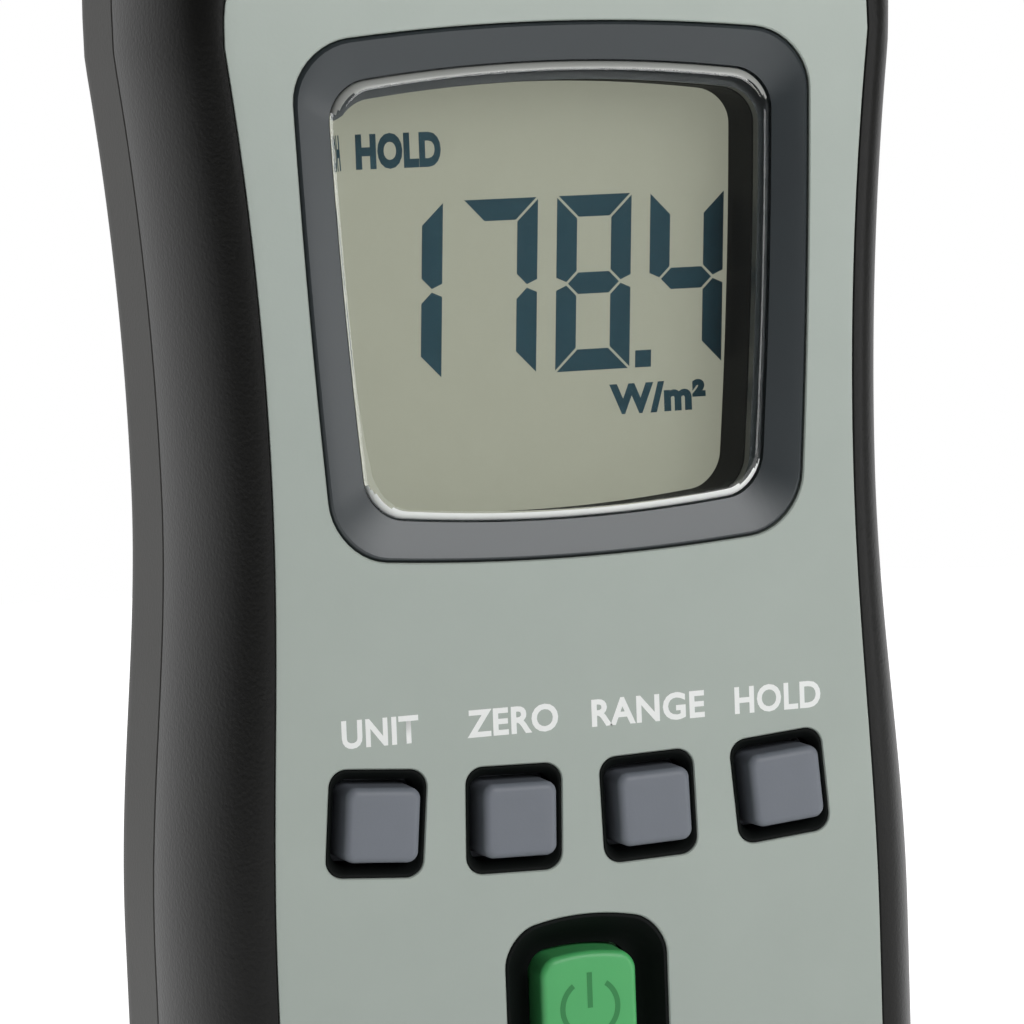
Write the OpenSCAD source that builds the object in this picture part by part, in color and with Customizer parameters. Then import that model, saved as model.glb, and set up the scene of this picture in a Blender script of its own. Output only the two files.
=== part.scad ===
// Pocket irradiance meter. It stands on its foot: X across, Z up, the face looks along -Y.
// The origin is the middle of the foot. A depth is measured from the face plane towards the back.

/* [Case] */
// Width across the head and the hip
case_w = 64; // [60:1:72]
// Length from the foot to the crown of the head
case_l = 110; // [109:1:120]
// Thickness from the face to the back
case_t = 32.9; // [32:0.1:38]
// Depth of the parting line behind the face
parting_d = 15.2; // [14.6:0.1:17]
// Wall of both shells
wall = 2; // [1.6:0.1:2.3]
// Height of the narrowest place
waist_z = 60; // [56:1:64]
// How far the waist draws in on each side
waist_in = 2.3; // [1:0.1:2.8]
// Distance from the crown down to where the flare of the head ends
head_l = 14.5; // [13:0.5:17]
// Height of the widest place of the hip
hip_z = 22; // [18:1:28]
// Height of the domed end of the head
dome_h = 11; // [9:0.5:13]
// Corner radius of the foot
foot_r = 10; // [8:0.5:12]
// How far the sides roll in from the parting line to the face
face_in = 5.15; // [4:0.05:5.6]
// Extra roll at the hip
hip_roll = 1.05; // [0:0.05:1.4]
// How far the face stays short of the foot and of the crown
end_roll = 3.4; // [2.6:0.1:4.4]
// How far the back rolls in at its edge
back_in = 5.5; // [4.5:0.1:6]
// Depth of the roll at the back edge
back_roll = 8; // [6:0.5:9]

/* [Face] */
// Thickness of the silver face panel
face_t = 1.2; // [0.8:0.1:1.6]
// Width of the face beside the top of the display bezel
bezel_side_top = 5.15; // [4.6:0.05:6]
// Width of the face beside the bottom of the display bezel
bezel_side_bottom = 4.8; // [4.2:0.05:6]
// Height of the lower corners of the bezel
bezel_z0 = 55.4; // [54.6:0.1:56]
// Distance from the crown down to the upper corners of the bezel
bezel_below = 14.5; // [14:0.05:16]
// Corner radius of the bezel
bezel_r = 4.5; // [3:0.1:4.6]
// Width of the sloping bezel frame
bezel_w = 3.05; // [2.6:0.05:3.3]
// Depth of the bezel at the lens
bezel_d = 0.8; // [0.5:0.1:1]
// Thickness of the lens
lens_t = 1.6; // [1.2:0.1:2]
// Width of the ledge that the lens rests on
lens_ledge = 0.9; // [0.6:0.05:1.4]
// How far the display window sits below the middle of the lens
window_drop = 0.7; // [0:0.05:0.8]
// Depth of the liquid crystal glass behind the face
lcd_d = 8.7; // [8:0.1:9]
// Thickness of the liquid crystal glass
lcd_t = 2.6; // [2:0.1:2.8]

/* [Keys] */
// Radius of the arc that the key row follows
key_arc = 209; // [150:1:400]
// Height of the middle of the key row
key_row_z = 33.6; // [32.6:0.1:35]
// Width and height of a key cap
key_w = 6.5; // [6:0.1:6.8]
// How far a key stands out of the face
key_proud = 1.1; // [0.6:0.1:1.4]
// Travel of every key
key_travel = 0.5; // [0.3:0.05:0.6]
// Height of the centre of the power key
power_z = 17.75; // [17.2:0.05:18.2]
// Width of the power key cap
power_w = 8.2; // [7.6:0.1:8.6]
// Height of the power key cap at its sides
power_h = 8.1; // [7.6:0.1:8.6]
// How far the power key stands out of the face
power_proud = 0.4; // [0:0.1:0.8]

/* [Battery bay] */
// Diameter of a cell
cell_d = 10.5; // [10:0.1:10.6]
// Length of a cell with its terminal
cell_l = 44.5; // [43:0.1:45]
// Number of cells
cells = 4; // [2:1:4]
// Height of the lower end of the bay
bay_z = 9; // [8.6:0.1:10]
// Thickness of the battery cover
cover_t = 2; // [1.6:0.1:2.4]

/* [Sensor] */
// Outer diameter of the sensor holder
sensor_d = 17; // [15:0.5:18]
// Diameter of the diffuser
diffuser_d = 11; // [9:0.5:12]
// How far the diffuser stands above the head
sensor_proud = 1; // [0.6:0.1:1.6]

/* [Mounting] */
// Radius inside the threaded tripod insert
tripod_r = 2.6; // [2.4:0.05:3]
// Length of the tripod insert
tripod_l = 8; // [6:0.5:9]
// Height of the tripod insert above the battery bay
tripod_above = 17.5; // [14:0.5:20]

/* [Hidden] */

// Colours of the mouldings and metals
shell_color = "#3c3c3b";
face_color = "#a0a8a2";
bezel_color = "#4a5052";
black_color = "#17191b";
key_color = "#767b82";
green_color = "#5cb070";
metal_color = "#b9bcbe";

// Clearances: seated pieces, keys in their wells, shafts in bores, and one overrun for every cut
seat_gap = 0.05;
key_gap = 0.2;
running_gap = 0.05;
cover_gap = 0.15;
over = 1;

// Rings and points of the lofted outlines
foot_points = 4;
side_points = 11;
dome_points = 6;
roll_rings = 6;
dome_power = 3.2;

// Places along the depth
face_y = -(case_t + key_proud) / 2 + key_proud;
back_y = face_y + case_t;
parting_y = face_y + parting_d;
inner_d = face_t + wall;
rim = 0.35;
hollow_share = 0.6;
groove_w = 0.35;
groove_in = 0.4;

// An outline is head, waist and hip half-width, foot height and crown height
case_half = case_w / 2;
hip_in = face_in + hip_roll;
case_outline = [case_half, case_half - waist_in, case_half, 0, case_l];
face_outline = [case_half - face_in, case_half - waist_in - face_in, case_half - hip_in,
    end_roll, case_l - end_roll];
back_outline = inset(case_outline, back_in);

head_z = case_l - head_l;

function inset(o, by) = [o[0] - by, o[1] - by, o[2] - by, o[3] + by, o[4] - by];

// Half-width of an outline at a height: a parabola up to the head, a cosine down to the hip
function half_at(z, o) = z > waist_z
    ? o[1] + (o[0] - o[1]) * pow(min(1, (z - waist_z) / (head_z - waist_z)), 2)
    : o[1] + (o[2] - o[1]) * (1 - cos(180 * min(1, (waist_z - z) / (waist_z - hip_z)))) / 2;

// Right half of an outline from the foot to the crown
function right_side(o) =
    let (
        z0 = o[3] + foot_r,
        z1 = o[4] - dome_h,
        x0 = half_at(z0, o) - foot_r,
        x1 = half_at(z1, o)
    ) concat(
        [for (i = [0:foot_points])
            let (a = -90 + 90 * i / foot_points)
            [x0 + foot_r * cos(a), z0 + foot_r * sin(a)]],
        [for (i = [1:side_points])
            let (z = z0 + (z1 - z0) * i / side_points)
            [half_at(z, o), z]],
        [for (i = [1:dome_points])
            let (a = 90 * i / (dome_points + 1))
            [x1 * pow(cos(a), 2 / dome_power), z1 + dome_h * pow(sin(a), 2 / dome_power)]]);

function mirrored(points) = [for (i = [len(points) - 1:-1:0]) [-points[i][0], points[i][1]]];

function whole(o) = let (r = right_side(o)) concat(r, [[0, o[4]]], mirrored(r));

// One ring of a loft: a share of the way from outline a to outline b, at depth d
function ring(a, b, share, d) =
    let (pa = whole(a), pb = whole(b))
    placed([for (i = [0:len(pa) - 1]) pa[i] + share * (pb[i] - pa[i])], d);

// Rings of the roll from the face outwards to the parting line, as a quarter ellipse
function front_rings(a, b, d0, d1) =
    [for (i = [0:roll_rings])
        let (t = 90 * i / roll_rings)
        ring(a, b, sin(t), d0 + (d1 - d0) * (1 - cos(t)))];

// Rings of the roll from the straight side inwards to the back
function back_rings(a, b, d0, d1) =
    [for (i = [0:roll_rings])
        let (t = 90 * i / roll_rings)
        ring(a, b, 1 - cos(t), d0 + (d1 - d0) * sin(t))];

module loft(rings) {
    n = len(rings[0]);
    last = len(rings) - 1;
    polyhedron(
        points = [for (r = rings) for (p = r) p],
        faces = concat(
            [[for (i = [n - 1:-1:0]) i]],
            [for (k = [0:last - 1]) for (i = [0:n - 1]) [k * n + i, k * n + (i + 1) % n, (k + 1) * n + (i + 1) % n]],
            [for (k = [0:last - 1]) for (i = [0:n - 1]) [k * n + i, (k + 1) * n + (i + 1) % n, (k + 1) * n + i]],
            [[for (i = [0:n - 1]) last * n + i]]));
}

// A flat piece whose outline is given in X and Z, from depth d0 to depth d1
module plate(points, d0, d1)
    translate([0, face_y + d1, 0]) rotate([90, 0, 0]) linear_extrude(d1 - d0) polygon(points);

// A round piece along the depth
module rod(x, z, r, d0, d1, sides = 48)
    translate([x, face_y + d0, z]) rotate([-90, 0, 0]) cylinder(r = r, h = d1 - d0, $fn = sides);

// A block between two corners given as [x, depth, z]
module block(a, b)
    translate([a[0], face_y + a[1], a[2]]) cube([b[0] - a[0], b[1] - a[1], b[2] - a[2]]);

// Outline of a pane: a rounded trapezium with crowned top and bottom and slightly bellied sides
pane_arc = 5;
pane_edge = 6;
function pane(top, bottom, z0, z1, r, crown_t, crown_b, belly) =
    let (
        hm = (top + bottom) / 2,
        zm = (z0 + z1) / 2,
        corners = [[hm - r, z0 + r, -90], [hm - r, z1 - r, 0], [-hm + r, z1 - r, 90], [-hm + r, z0 + r, 180]],
        base = [for (k = [0:3]) each concat(
            [for (i = [0:pane_arc])
                let (a = corners[k][2] + 90 * i / pane_arc)
                [corners[k][0] + r * cos(a), corners[k][1] + r * sin(a)]],
            [for (i = [1:pane_edge - 1])
                let (
                    a = corners[k][2] + 90,
                    c = corners[k],
                    n = corners[(k + 1) % 4],
                    s = i / pane_edge
                ) [c[0] + (n[0] - c[0]) * s + r * cos(a), c[1] + (n[1] - c[1]) * s + r * sin(a)]])]
    ) [for (p = base)
        let (
            t = (p[1] - z0) / (z1 - z0),
            half = bottom + (top - bottom) * t + belly * 4 * t * (1 - t),
            lift = (p[1] > zm ? crown_t : -crown_b) * (1 - pow(p[0] / hm, 2)) * abs(2 * t - 1)
        ) [p[0] * half / hm, p[1] + lift]];

// A pane outline drawn in by the same amount all round
bezel_top = face_outline[0] - bezel_side_top;
bezel_bottom = face_outline[1] - bezel_side_bottom;
bezel_z1 = case_l - bezel_below;
bezel_crown_top = 1.4;
bezel_crown_bottom = 1.1;
bezel_belly = 0.27;
bezel_corner_share = 0.5;
function bezel_pane(by) = pane(bezel_top - by, bezel_bottom - by, bezel_z0 + by, bezel_z1 - by,
    max(bezel_r - by * bezel_corner_share, key_gap), bezel_crown_top, bezel_crown_bottom, bezel_belly);

function placed(points, d) = [for (p = points) [p[0], face_y + d, p[1]]];

// Rounded rectangle about a centre, in X and Z
corner_points = 5;
function rounded(w, h, r, zc = 0) =
    [for (k = [0:3]) for (i = [0:corner_points])
        let (
            a = 90 * k - 90 + 90 * i / corner_points,
            sx = (k == 0 || k == 1) ? 1 : -1,
            sz = (k == 1 || k == 2) ? 1 : -1
        ) [sx * (w / 2 - r) + r * cos(a), zc + sz * (h / 2 - r) + r * sin(a)]];

// Places of the four function keys on their arc, spread evenly over the width of the face
key_count = 4;
key_edge_share = 0.27;
key_pitch = 2 * face_outline[1] / (key_count + key_edge_share);
key_angle = key_pitch / key_arc * 180 / PI;
function key_turn(i) = (i - (key_count - 1) / 2) * key_angle;
function key_x(i) = key_arc * sin(key_turn(i));
function key_z(i) = key_row_z + key_arc * (1 - cos(key_turn(i)));
module at_key(i) translate([key_x(i), 0, key_z(i)]) rotate([0, -key_turn(i), 0]) children();

// Sizes of the key wells
key_r = 0.95;
well_w = 8.1;
well_h = 8.7;
well_r = 1.45;
well_d = 0.85;
well_lip = 0.12;
trim_in = 1.75;
trim_half = face_outline[1] - trim_in;
trim_z0 = 8;
trim_z1 = 42;
flange_out = 0.9;
flange_t = 1;
key_edge = 0.8;
key_rings = 4;
key_crown = 0.12;

// Sizes of the power well
power_well_w = 13.9;
power_well_h = 12.7;
power_well_r = 2.6;
power_well_d = 2.4;
power_well_crown = 1.27;
power_r = 1.3;
power_crown = 0.55;
power_edge = 0.6;
well_floor_t = 1.2;
power_flange_d = power_well_d + well_floor_t + seat_gap;
key_flange_d = inner_d + seat_gap;

function power_pane(by_x, by_z) = pane(power_well_w / 2 - by_x, power_well_w / 2 - by_x,
    power_z - power_well_h / 2 + by_z, power_z + power_well_h / 2 - by_z, power_well_r,
    power_well_crown, power_well_crown, 0);
function power_cap(by) = pane(power_w / 2 - by, power_w / 2 - by, power_z - power_h / 2 + by,
    power_z + power_h / 2 - by, max(power_r - by, key_gap), power_crown, power_crown, 0);

// Sensor in the head
sensor_r = sensor_d / 2;
sensor_lip = 1.4;
sensor_lip_t = 1.4;
sensor_collar_t = 1.6;
sensor_collar_h = 3;
sensor_low = case_l - wall - sensor_collar_h;
diffuser_r = diffuser_d / 2;
diffuser_t = 1.2;
diffuser_dome = 0.5;
sensor_wall = 2;
sensor_board_t = 1.2;
sensor_skirt = 5;
sensor_seat_z = sensor_low - sensor_lip_t - sensor_skirt;
sensor_rim = 0.6;
diode_r = 4;
diode_h = 3.4;
diode_flange = 0.7;
diode_window_r = 2.6;

// Board stack behind the face
lcd_glass_in = 1.6;
lcd_glass_half = bezel_top - bezel_w - lens_ledge / 2;
strip_w = 2;
strip_h = 2;
frame_front_d = inner_d + key_gap;
board_d = lcd_d + lcd_t + strip_h;
board_t = 1.6;
board_gap = 0.5;
board_z0 = 7;
board_z1 = sensor_seat_z - sensor_board_t - board_gap;
board_side = 3;
board_half = case_half - waist_in - wall - board_side;
board_r = 3;

// Switches under the keys
switch_w = 6;
switch_h = 3.5;
stem_r = 1.75;
stem_in = 2;

// Case screws and their posts, as [x, z]
post_r = 2.8;
screw_r = 1.25;
screw_clear = 1.5;
screw_head_r = 2.5;
screw_head_t = 1.8;
screw_l = 17;
counterbore_r = 2.8;
screw_seat_d = 23;
hip_post_in = 0.9;
hip_post_z = 24;
head_post_in = 5;
head_post_low = 1.5;
hip_post_x = case_half - wall - post_r - hip_post_in;
head_post_x = case_half - wall - post_r - head_post_in;
head_post_z = case_l - dome_h - head_post_low;
posts = [[hip_post_x, hip_post_z], [-hip_post_x, hip_post_z], [head_post_x, head_post_z], [-head_post_x, head_post_z]];

// Board screws, as [x, z]
board_post_r = 2.1;
board_screw_r = 0.9;
board_head_r = 1.7;
board_head_t = 1.1;
board_screw_l = 6;
board_post_in = 3.5;
board_post_x = board_half - board_post_in;
board_post_z = 49.6;
low_post_in = 9.2;
low_post_x = board_half - low_post_in;
low_post_z = 13.5;
board_posts = [[board_post_x, board_post_z], [-board_post_x, board_post_z],
    [low_post_x, low_post_z], [-low_post_x, low_post_z]];

// Battery bay
cell_r = cell_d / 2;
cell_gap = 0.2;
cell_pitch = cell_d + cell_gap;
nub_r = 2.7;
nub_h = 1;
spring_l = 4.2;
plate_t = 0.4;
bay_wall = 1.2;
bay_half = cells * cell_pitch / 2 + cell_gap;
bay_l = cell_l + spring_l + 2 * plate_t;
bay_z1 = bay_z + bay_l;
tripod_z = bay_z1 + tripod_above;
insert_r = tripod_r * 2;
bay_out_d = case_t - cover_t;
bay_in_d = bay_out_d - cell_d - 2 * cell_gap;
cell_d_mid = bay_in_d + cell_gap + cell_r;
cover_lap = 1.2;
cover_half = bay_half + cover_lap;
cover_z0 = bay_z - cover_lap;
cover_z1 = bay_z1 + cover_lap;
cover_r = 2;
tab_w = 4;
tab_t = 1.1;
tab_l = 1.8;
tab_x = cell_pitch;

// Round opening of the head for the sensor, split between both shells
module sensor_bore()
    translate([0, parting_y, sensor_low - over]) cylinder(r = sensor_r + seat_gap, h = case_l, $fn = 64);

module sensor_collar()
    translate([0, parting_y, sensor_low]) cylinder(r = sensor_r + sensor_collar_t, h = case_l, $fn = 64);

// Front shell: its skin less a hollow, which leaves posts, a collar and the power well standing
module front_shell() color(shell_color) difference() {
    front_skin();
    difference() {
        front_hollow();
        for (p = posts) rod(p[0], p[1], post_r, 0, case_t);
        for (p = board_posts) rod(p[0], p[1], board_post_r, 0, board_d);
        sensor_collar();
        plate(power_pane(0, 0), 0, power_well_d + well_floor_t);
    }
    panel_seat();
    plate(bezel_pane(cover_lap), -over, inner_d + over);
    for (i = [0:key_count - 1]) at_key(i) key_well();
    power_well();
    for (p = posts) rod(p[0], p[1], screw_r, screw_seat_d - screw_l - over, case_t);
    for (p = board_posts) rod(p[0], p[1], board_screw_r, board_d + board_t - board_screw_l - seat_gap, case_t);
    sensor_bore();
}

module front_skin() loft(front_rings(inset(face_outline, -rim), case_outline, 0, parting_d));

module front_hollow() {
    inner_case = inset(case_outline, wall);
    inner_face = inset(face_outline, wall * hollow_share);
    loft(concat(front_rings(inner_face, inner_case, inner_d, parting_d),
        [ring(inner_face, inner_case, 1, parting_d + over)]));
}

// Seat of the silver panel, with collars that fill the openings of the panel round the keys
module panel_seat() {
    difference() {
        plate(whole(inset(face_outline, -seat_gap)), -over, face_t);
        for (i = [0:key_count - 1]) at_key(i) plate(rounded(well_w - 2 * seat_gap, well_h - 2 * seat_gap, well_r), -case_t, case_t);
        plate(power_pane(seat_gap, seat_gap), -case_t, case_t);
    }
    plate(rounded(2 * trim_half, trim_z1 - trim_z0, well_r, (trim_z0 + trim_z1) / 2), -over, well_lip);
}

// Dished well with the opening that a function key slides in
module key_well() {
    w = key_w + 2 * key_gap;
    loft([
        placed(rounded(well_w - well_lip, well_h - well_lip, well_r), well_lip - seat_gap),
        placed(rounded(w + seat_gap, w + seat_gap, key_r + key_gap), well_d)]);
    plate(rounded(w, w, key_r + key_gap), -over, inner_d + over);
}

// The deeper and wider dish round the power key
module power_well() {
    loft([
        placed(power_pane(well_lip, well_lip), well_lip - seat_gap),
        placed(power_cap(-key_gap - well_lip), power_well_d)]);
    plate(power_cap(-key_gap), -over, case_t / 2);
}

// Back shell: its skin less a hollow, which leaves posts, a collar, a boss and the battery tub standing
module back_shell() color(shell_color) difference() {
    back_skin();
    difference() {
        back_hollow();
        for (p = posts) rod(p[0], p[1], counterbore_r + bay_wall, 0, case_t);
        rod(0, tripod_z, insert_r + bay_wall, case_t - tripod_l - bay_wall, case_t);
        block([-bay_half - bay_wall, bay_in_d - bay_wall, bay_z - bay_wall],
            [bay_half + bay_wall, case_t, bay_z1 + bay_wall]);
        block([-cover_half - bay_wall, bay_out_d - bay_wall, cover_z0 - tab_l - bay_wall],
            [cover_half + bay_wall, case_t, cover_z1 + bay_wall]);
        sensor_collar();
    }
    block([-bay_half, bay_in_d, bay_z], [bay_half, case_t + over, bay_z1]);
    cover_seat();
    for (p = posts) {
        rod(p[0], p[1], screw_clear, 0, case_t);
        rod(p[0], p[1], counterbore_r, screw_seat_d, case_t + over);
    }
    rod(0, tripod_z, insert_r, case_t - tripod_l, case_t + over);
    sensor_bore();
}

module back_skin() {
    grooved = inset(case_outline, groove_in);
    loft(concat([ring(grooved, grooved, 0, parting_d), ring(grooved, grooved, 0, parting_d + groove_w)],
        [ring(case_outline, back_outline, 0, parting_d + groove_w)],
        back_rings(case_outline, back_outline, case_t - back_roll, case_t)));
}

module back_hollow() {
    inner = inset(case_outline, wall);
    inner_back = inset(back_outline, wall * hollow_share);
    loft(concat([ring(inner, inner_back, 0, parting_d - over)],
        back_rings(inner, inner_back, case_t - back_roll, case_t - wall)));
}

// Recess for the battery cover and slots for its two lower tabs
module cover_seat() {
    plate(rounded(2 * (cover_half + cover_gap), cover_z1 - cover_z0 + 2 * cover_gap, cover_r + cover_gap,
        (cover_z0 + cover_z1) / 2), bay_out_d, case_t + over);
    for (s = [-1, 1])
        block([s * tab_x - tab_w / 2 - key_gap, bay_out_d - tab_t - tab_l / 2, cover_z0 - tab_l - key_gap],
            [s * tab_x + tab_w / 2 + key_gap, case_t - cover_t / 2, bay_z + over]);
}

// Battery cover: it hooks under the lower edge of its opening and is held by a sprung tongue on top
cover_groove_w = 0.9;
cover_groove_d = 0.6;
cover_groove_l = 12;
cover_groove_pitch = 2;
cover_grooves = 4;
tongue_w = 11;
tongue_l = 9;
tongue_slot = 0.8;
module battery_cover() color(shell_color) {
    difference() {
        union() {
            plate(rounded(2 * cover_half, cover_z1 - cover_z0, cover_r, (cover_z0 + cover_z1) / 2),
                bay_out_d + seat_gap, case_t);
            for (s = [-1, 1]) {
                block([s * tab_x - tab_w / 2, bay_out_d - tab_t, cover_z0 - tab_l],
                    [s * tab_x + tab_w / 2, bay_out_d - seat_gap, cover_z0 + tab_t]);
                block([s * tab_x - tab_w / 2, bay_out_d - tab_t, cover_z0],
                    [s * tab_x + tab_w / 2, bay_out_d + cover_t / 2, cover_z0 + tab_t]);
            }
        }
        for (s = [-1, 1])
            block([s * tongue_w / 2 - tongue_slot / 2, bay_out_d - over, cover_z1 - tongue_l],
                [s * tongue_w / 2 + tongue_slot / 2, case_t + over, cover_z1 + over]);
        for (i = [0:cover_grooves - 1])
            block([-cover_groove_l / 3, case_t - cover_groove_d, cover_z1 - tongue_l / 6 - i * cover_groove_pitch - cover_groove_w],
                [cover_groove_l / 3, case_t + over, cover_z1 - tongue_l / 6 - i * cover_groove_pitch]);
    }
}

module face_panel() color(face_color) {
    difference() {
        plate(whole(face_outline), 0, face_t - seat_gap / 2);
        plate(bezel_pane(0), -over, face_t + over);
        for (i = [0:key_count - 1]) at_key(i) plate(rounded(well_w, well_h, well_r), -over, face_t + over);
        plate(power_pane(0, 0), -over, face_t + over);
    }
}

module display_bezel() color(bezel_color) {
    skirt = cover_lap + seat_gap;
    difference() {
        union() {
            plate(bezel_pane(seat_gap), 0, face_t);
            plate(bezel_pane(skirt), 0, frame_front_d);
        }
        loft([
            placed(bezel_pane(seat_gap * 3), -seat_gap),
            placed(bezel_pane(bezel_w), bezel_d)]);
        plate(bezel_pane(bezel_w), bezel_d - seat_gap, bezel_d + lens_t);
        translate([0, 0, -window_drop])
            plate(bezel_pane(bezel_w + lens_ledge - seat_gap), bezel_d, frame_front_d + over);
    }
}

// Clear lens with a rolled front edge
lens_edge = 0.7;
lens_rings = 4;
lens_front = 0.25;
module display_lens() color([0.85, 0.9, 0.9, 0.35]) {
    loft(concat(
        [for (i = [0:lens_rings])
            let (t = 90 * i / lens_rings)
            placed(bezel_pane(bezel_w + seat_gap + lens_edge * (1 - sin(t))), bezel_d - lens_front + lens_edge * (1 - cos(t)))],
        [placed(bezel_pane(bezel_w + seat_gap), bezel_d + lens_t - seat_gap)]));
}

// Black frame that seats the liquid crystal glass behind the bezel
module lcd_frame() color(black_color) {
    difference() {
        plate(bezel_pane(0), frame_front_d + seat_gap, board_d - seat_gap);
        translate([0, 0, -window_drop]) plate(bezel_pane(bezel_w + lens_ledge), frame_front_d - over, board_d + over);
        block([-lcd_glass_half - seat_gap, lcd_d, bezel_z0 + lcd_glass_in - seat_gap],
            [lcd_glass_half + seat_gap, board_d + over, bezel_z1 - lcd_glass_in + seat_gap]);
    }
}

module lcd_glass() color("#97998a")
    block([-lcd_glass_half, lcd_d + seat_gap, bezel_z0 + lcd_glass_in],
        [lcd_glass_half, lcd_d + lcd_t, bezel_z1 - lcd_glass_in]);

// Striped rubber strips that join the glass to the board
module contact_strips() color("#33373c") {
    for (z = [bezel_z0 + lcd_glass_in + seat_gap, bezel_z1 - lcd_glass_in - strip_w - seat_gap])
        block([-bezel_bottom + bezel_w, lcd_d + lcd_t, z], [bezel_bottom - bezel_w, board_d, z + strip_w]);
}

module circuit_board() color("#1f5a3a") {
    difference() {
        plate(rounded(2 * board_half, board_z1 - board_z0, board_r, (board_z0 + board_z1) / 2), board_d, board_d + board_t);
        for (p = posts) rod(p[0], p[1], post_r + board_gap, board_d - over, board_d + board_t + over);
        for (p = board_posts) rod(p[0], p[1], board_screw_r + seat_gap, board_d - over, board_d + board_t + over);
    }
}

// Flat square processor with its leads, on the back of the board
chip_w = 10;
chip_t = 1.4;
chip_z = (bezel_z0 + bezel_z1) / 2;
chip_leads = 11;
lead_w = 0.3;
lead_l = 1;
lead_t = 0.25;
lead_pitch = 0.8;
module processor_chip() color("#202224") {
    d0 = board_d + board_t;
    block([-chip_w / 2, d0 + lead_t / 2, chip_z - chip_w / 2], [chip_w / 2, d0 + chip_t, chip_z + chip_w / 2]);
    for (q = [0:3], i = [0:chip_leads - 1])
        translate([0, 0, chip_z]) rotate([0, 90 * q, 0])
            block([(i - (chip_leads - 1) / 2) * lead_pitch - lead_w / 2, d0, chip_w / 2 - lead_t],
                [(i - (chip_leads - 1) / 2) * lead_pitch + lead_w / 2, d0 + lead_t, chip_w / 2 + lead_l]);
}

// Amplifier, crystal and capacitors, as [x, z, width, height, thickness]
amp_w = 5;
amp_h = 4;
amp_t = 1.5;
crystal_w = 4.6;
crystal_h = 11;
crystal_t = 3.4;
cap_w = 3.2;
cap_h = 2.2;
cap_t = 1.3;
side_x = 13;
board_blocks = [
    [side_x, chip_z + crystal_h, amp_w, amp_h, amp_t],
    [-side_x, chip_z + crystal_h, amp_w, amp_h, amp_t],
    [side_x, chip_z - cap_h, crystal_w, crystal_h, crystal_t],
    [-side_x, chip_z - cap_h, cap_w, cap_h, cap_t],
    [-side_x, chip_z + cap_h, cap_w, cap_h, cap_t],
    [0, chip_z - crystal_h, cap_w, cap_h, cap_t],
    [side_x / 2, chip_z - crystal_h, cap_w, cap_h, cap_t]];
module board_parts() color("#6b6f73") {
    for (b = board_blocks)
        block([b[0] - b[2] / 2, board_d + board_t, b[1] - b[3] / 2], [b[0] + b[2] / 2, board_d + board_t + b[4], b[1] + b[3] / 2]);
}

// Push switches on the board, one behind each key
module one_switch(x, z) difference() {
    block([x - switch_w / 2, board_d - switch_h, z - switch_w / 2], [x + switch_w / 2, board_d, z + switch_w / 2]);
    rod(x, z, stem_r + running_gap, board_d - switch_h - over, board_d - switch_h + stem_in + key_travel + key_gap);
}
module tact_switches() color("#2a2c2e") {
    for (i = [0:key_count - 1]) one_switch(key_x(i), key_z(i));
    one_switch(0, power_z);
}

// A function key: a cap with a rolled edge, and a flange that keeps it behind the shell
module key_cap() {
    loft(concat(
        [placed(rounded(key_w - 2 * key_edge, key_w - 2 * key_edge, key_r / 2), -key_proud)],
        [for (i = [1:key_rings])
            let (t = 90 * i / key_rings)
            placed(rounded(key_w - 2 * key_edge * (1 - sin(t)), key_w - 2 * key_edge * (1 - sin(t)), key_r / 2 + key_r / 2 * sin(t)),
                -key_proud + key_crown + (key_edge - key_crown) * (1 - cos(t)))],
        [placed(rounded(key_w, key_w, key_r), key_flange_d + flange_t / 2)]));
    plate(rounded(key_w + 2 * flange_out, key_w + 2 * flange_out, key_r), key_flange_d, key_flange_d + flange_t);
}
module function_key(i) color(key_color) at_key(i) key_cap();

module power_key() color(green_color) {
    loft(concat(
        [placed(power_cap(power_edge), -power_proud)],
        [for (i = [1:key_rings])
            let (t = 90 * i / key_rings)
            placed(power_cap(power_edge * (1 - sin(t))), -power_proud + power_edge * (1 - cos(t)))],
        [placed(power_cap(0), power_flange_d + flange_t / 2)]));
    plate(power_cap(-flange_out), power_flange_d, power_flange_d + flange_t);
}

// The sliding stem of a push switch, which the key pushes
module stem(x, z, d0) color("#d8d9d6") rod(x, z, stem_r, d0, board_d - switch_h + stem_in);

module battery_cells() {
    for (i = [0:cells - 1]) {
        up = i % 2 == 0;
        x = (i - (cells - 1) / 2) * cell_pitch;
        z0 = up ? bay_z + plate_t + spring_l : bay_z + plate_t;
        translate([x, face_y + cell_d_mid, up ? z0 : z0 + cell_l]) rotate([up ? 0 : 180, 0, 0]) {
            color("#c8b27a") cylinder(r = cell_r, h = cell_l - nub_h, $fn = 48);
            color(metal_color) translate([0, 0, cell_l - nub_h]) cylinder(r = nub_r / 2, h = nub_h, $fn = 32);
        }
    }
}

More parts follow.
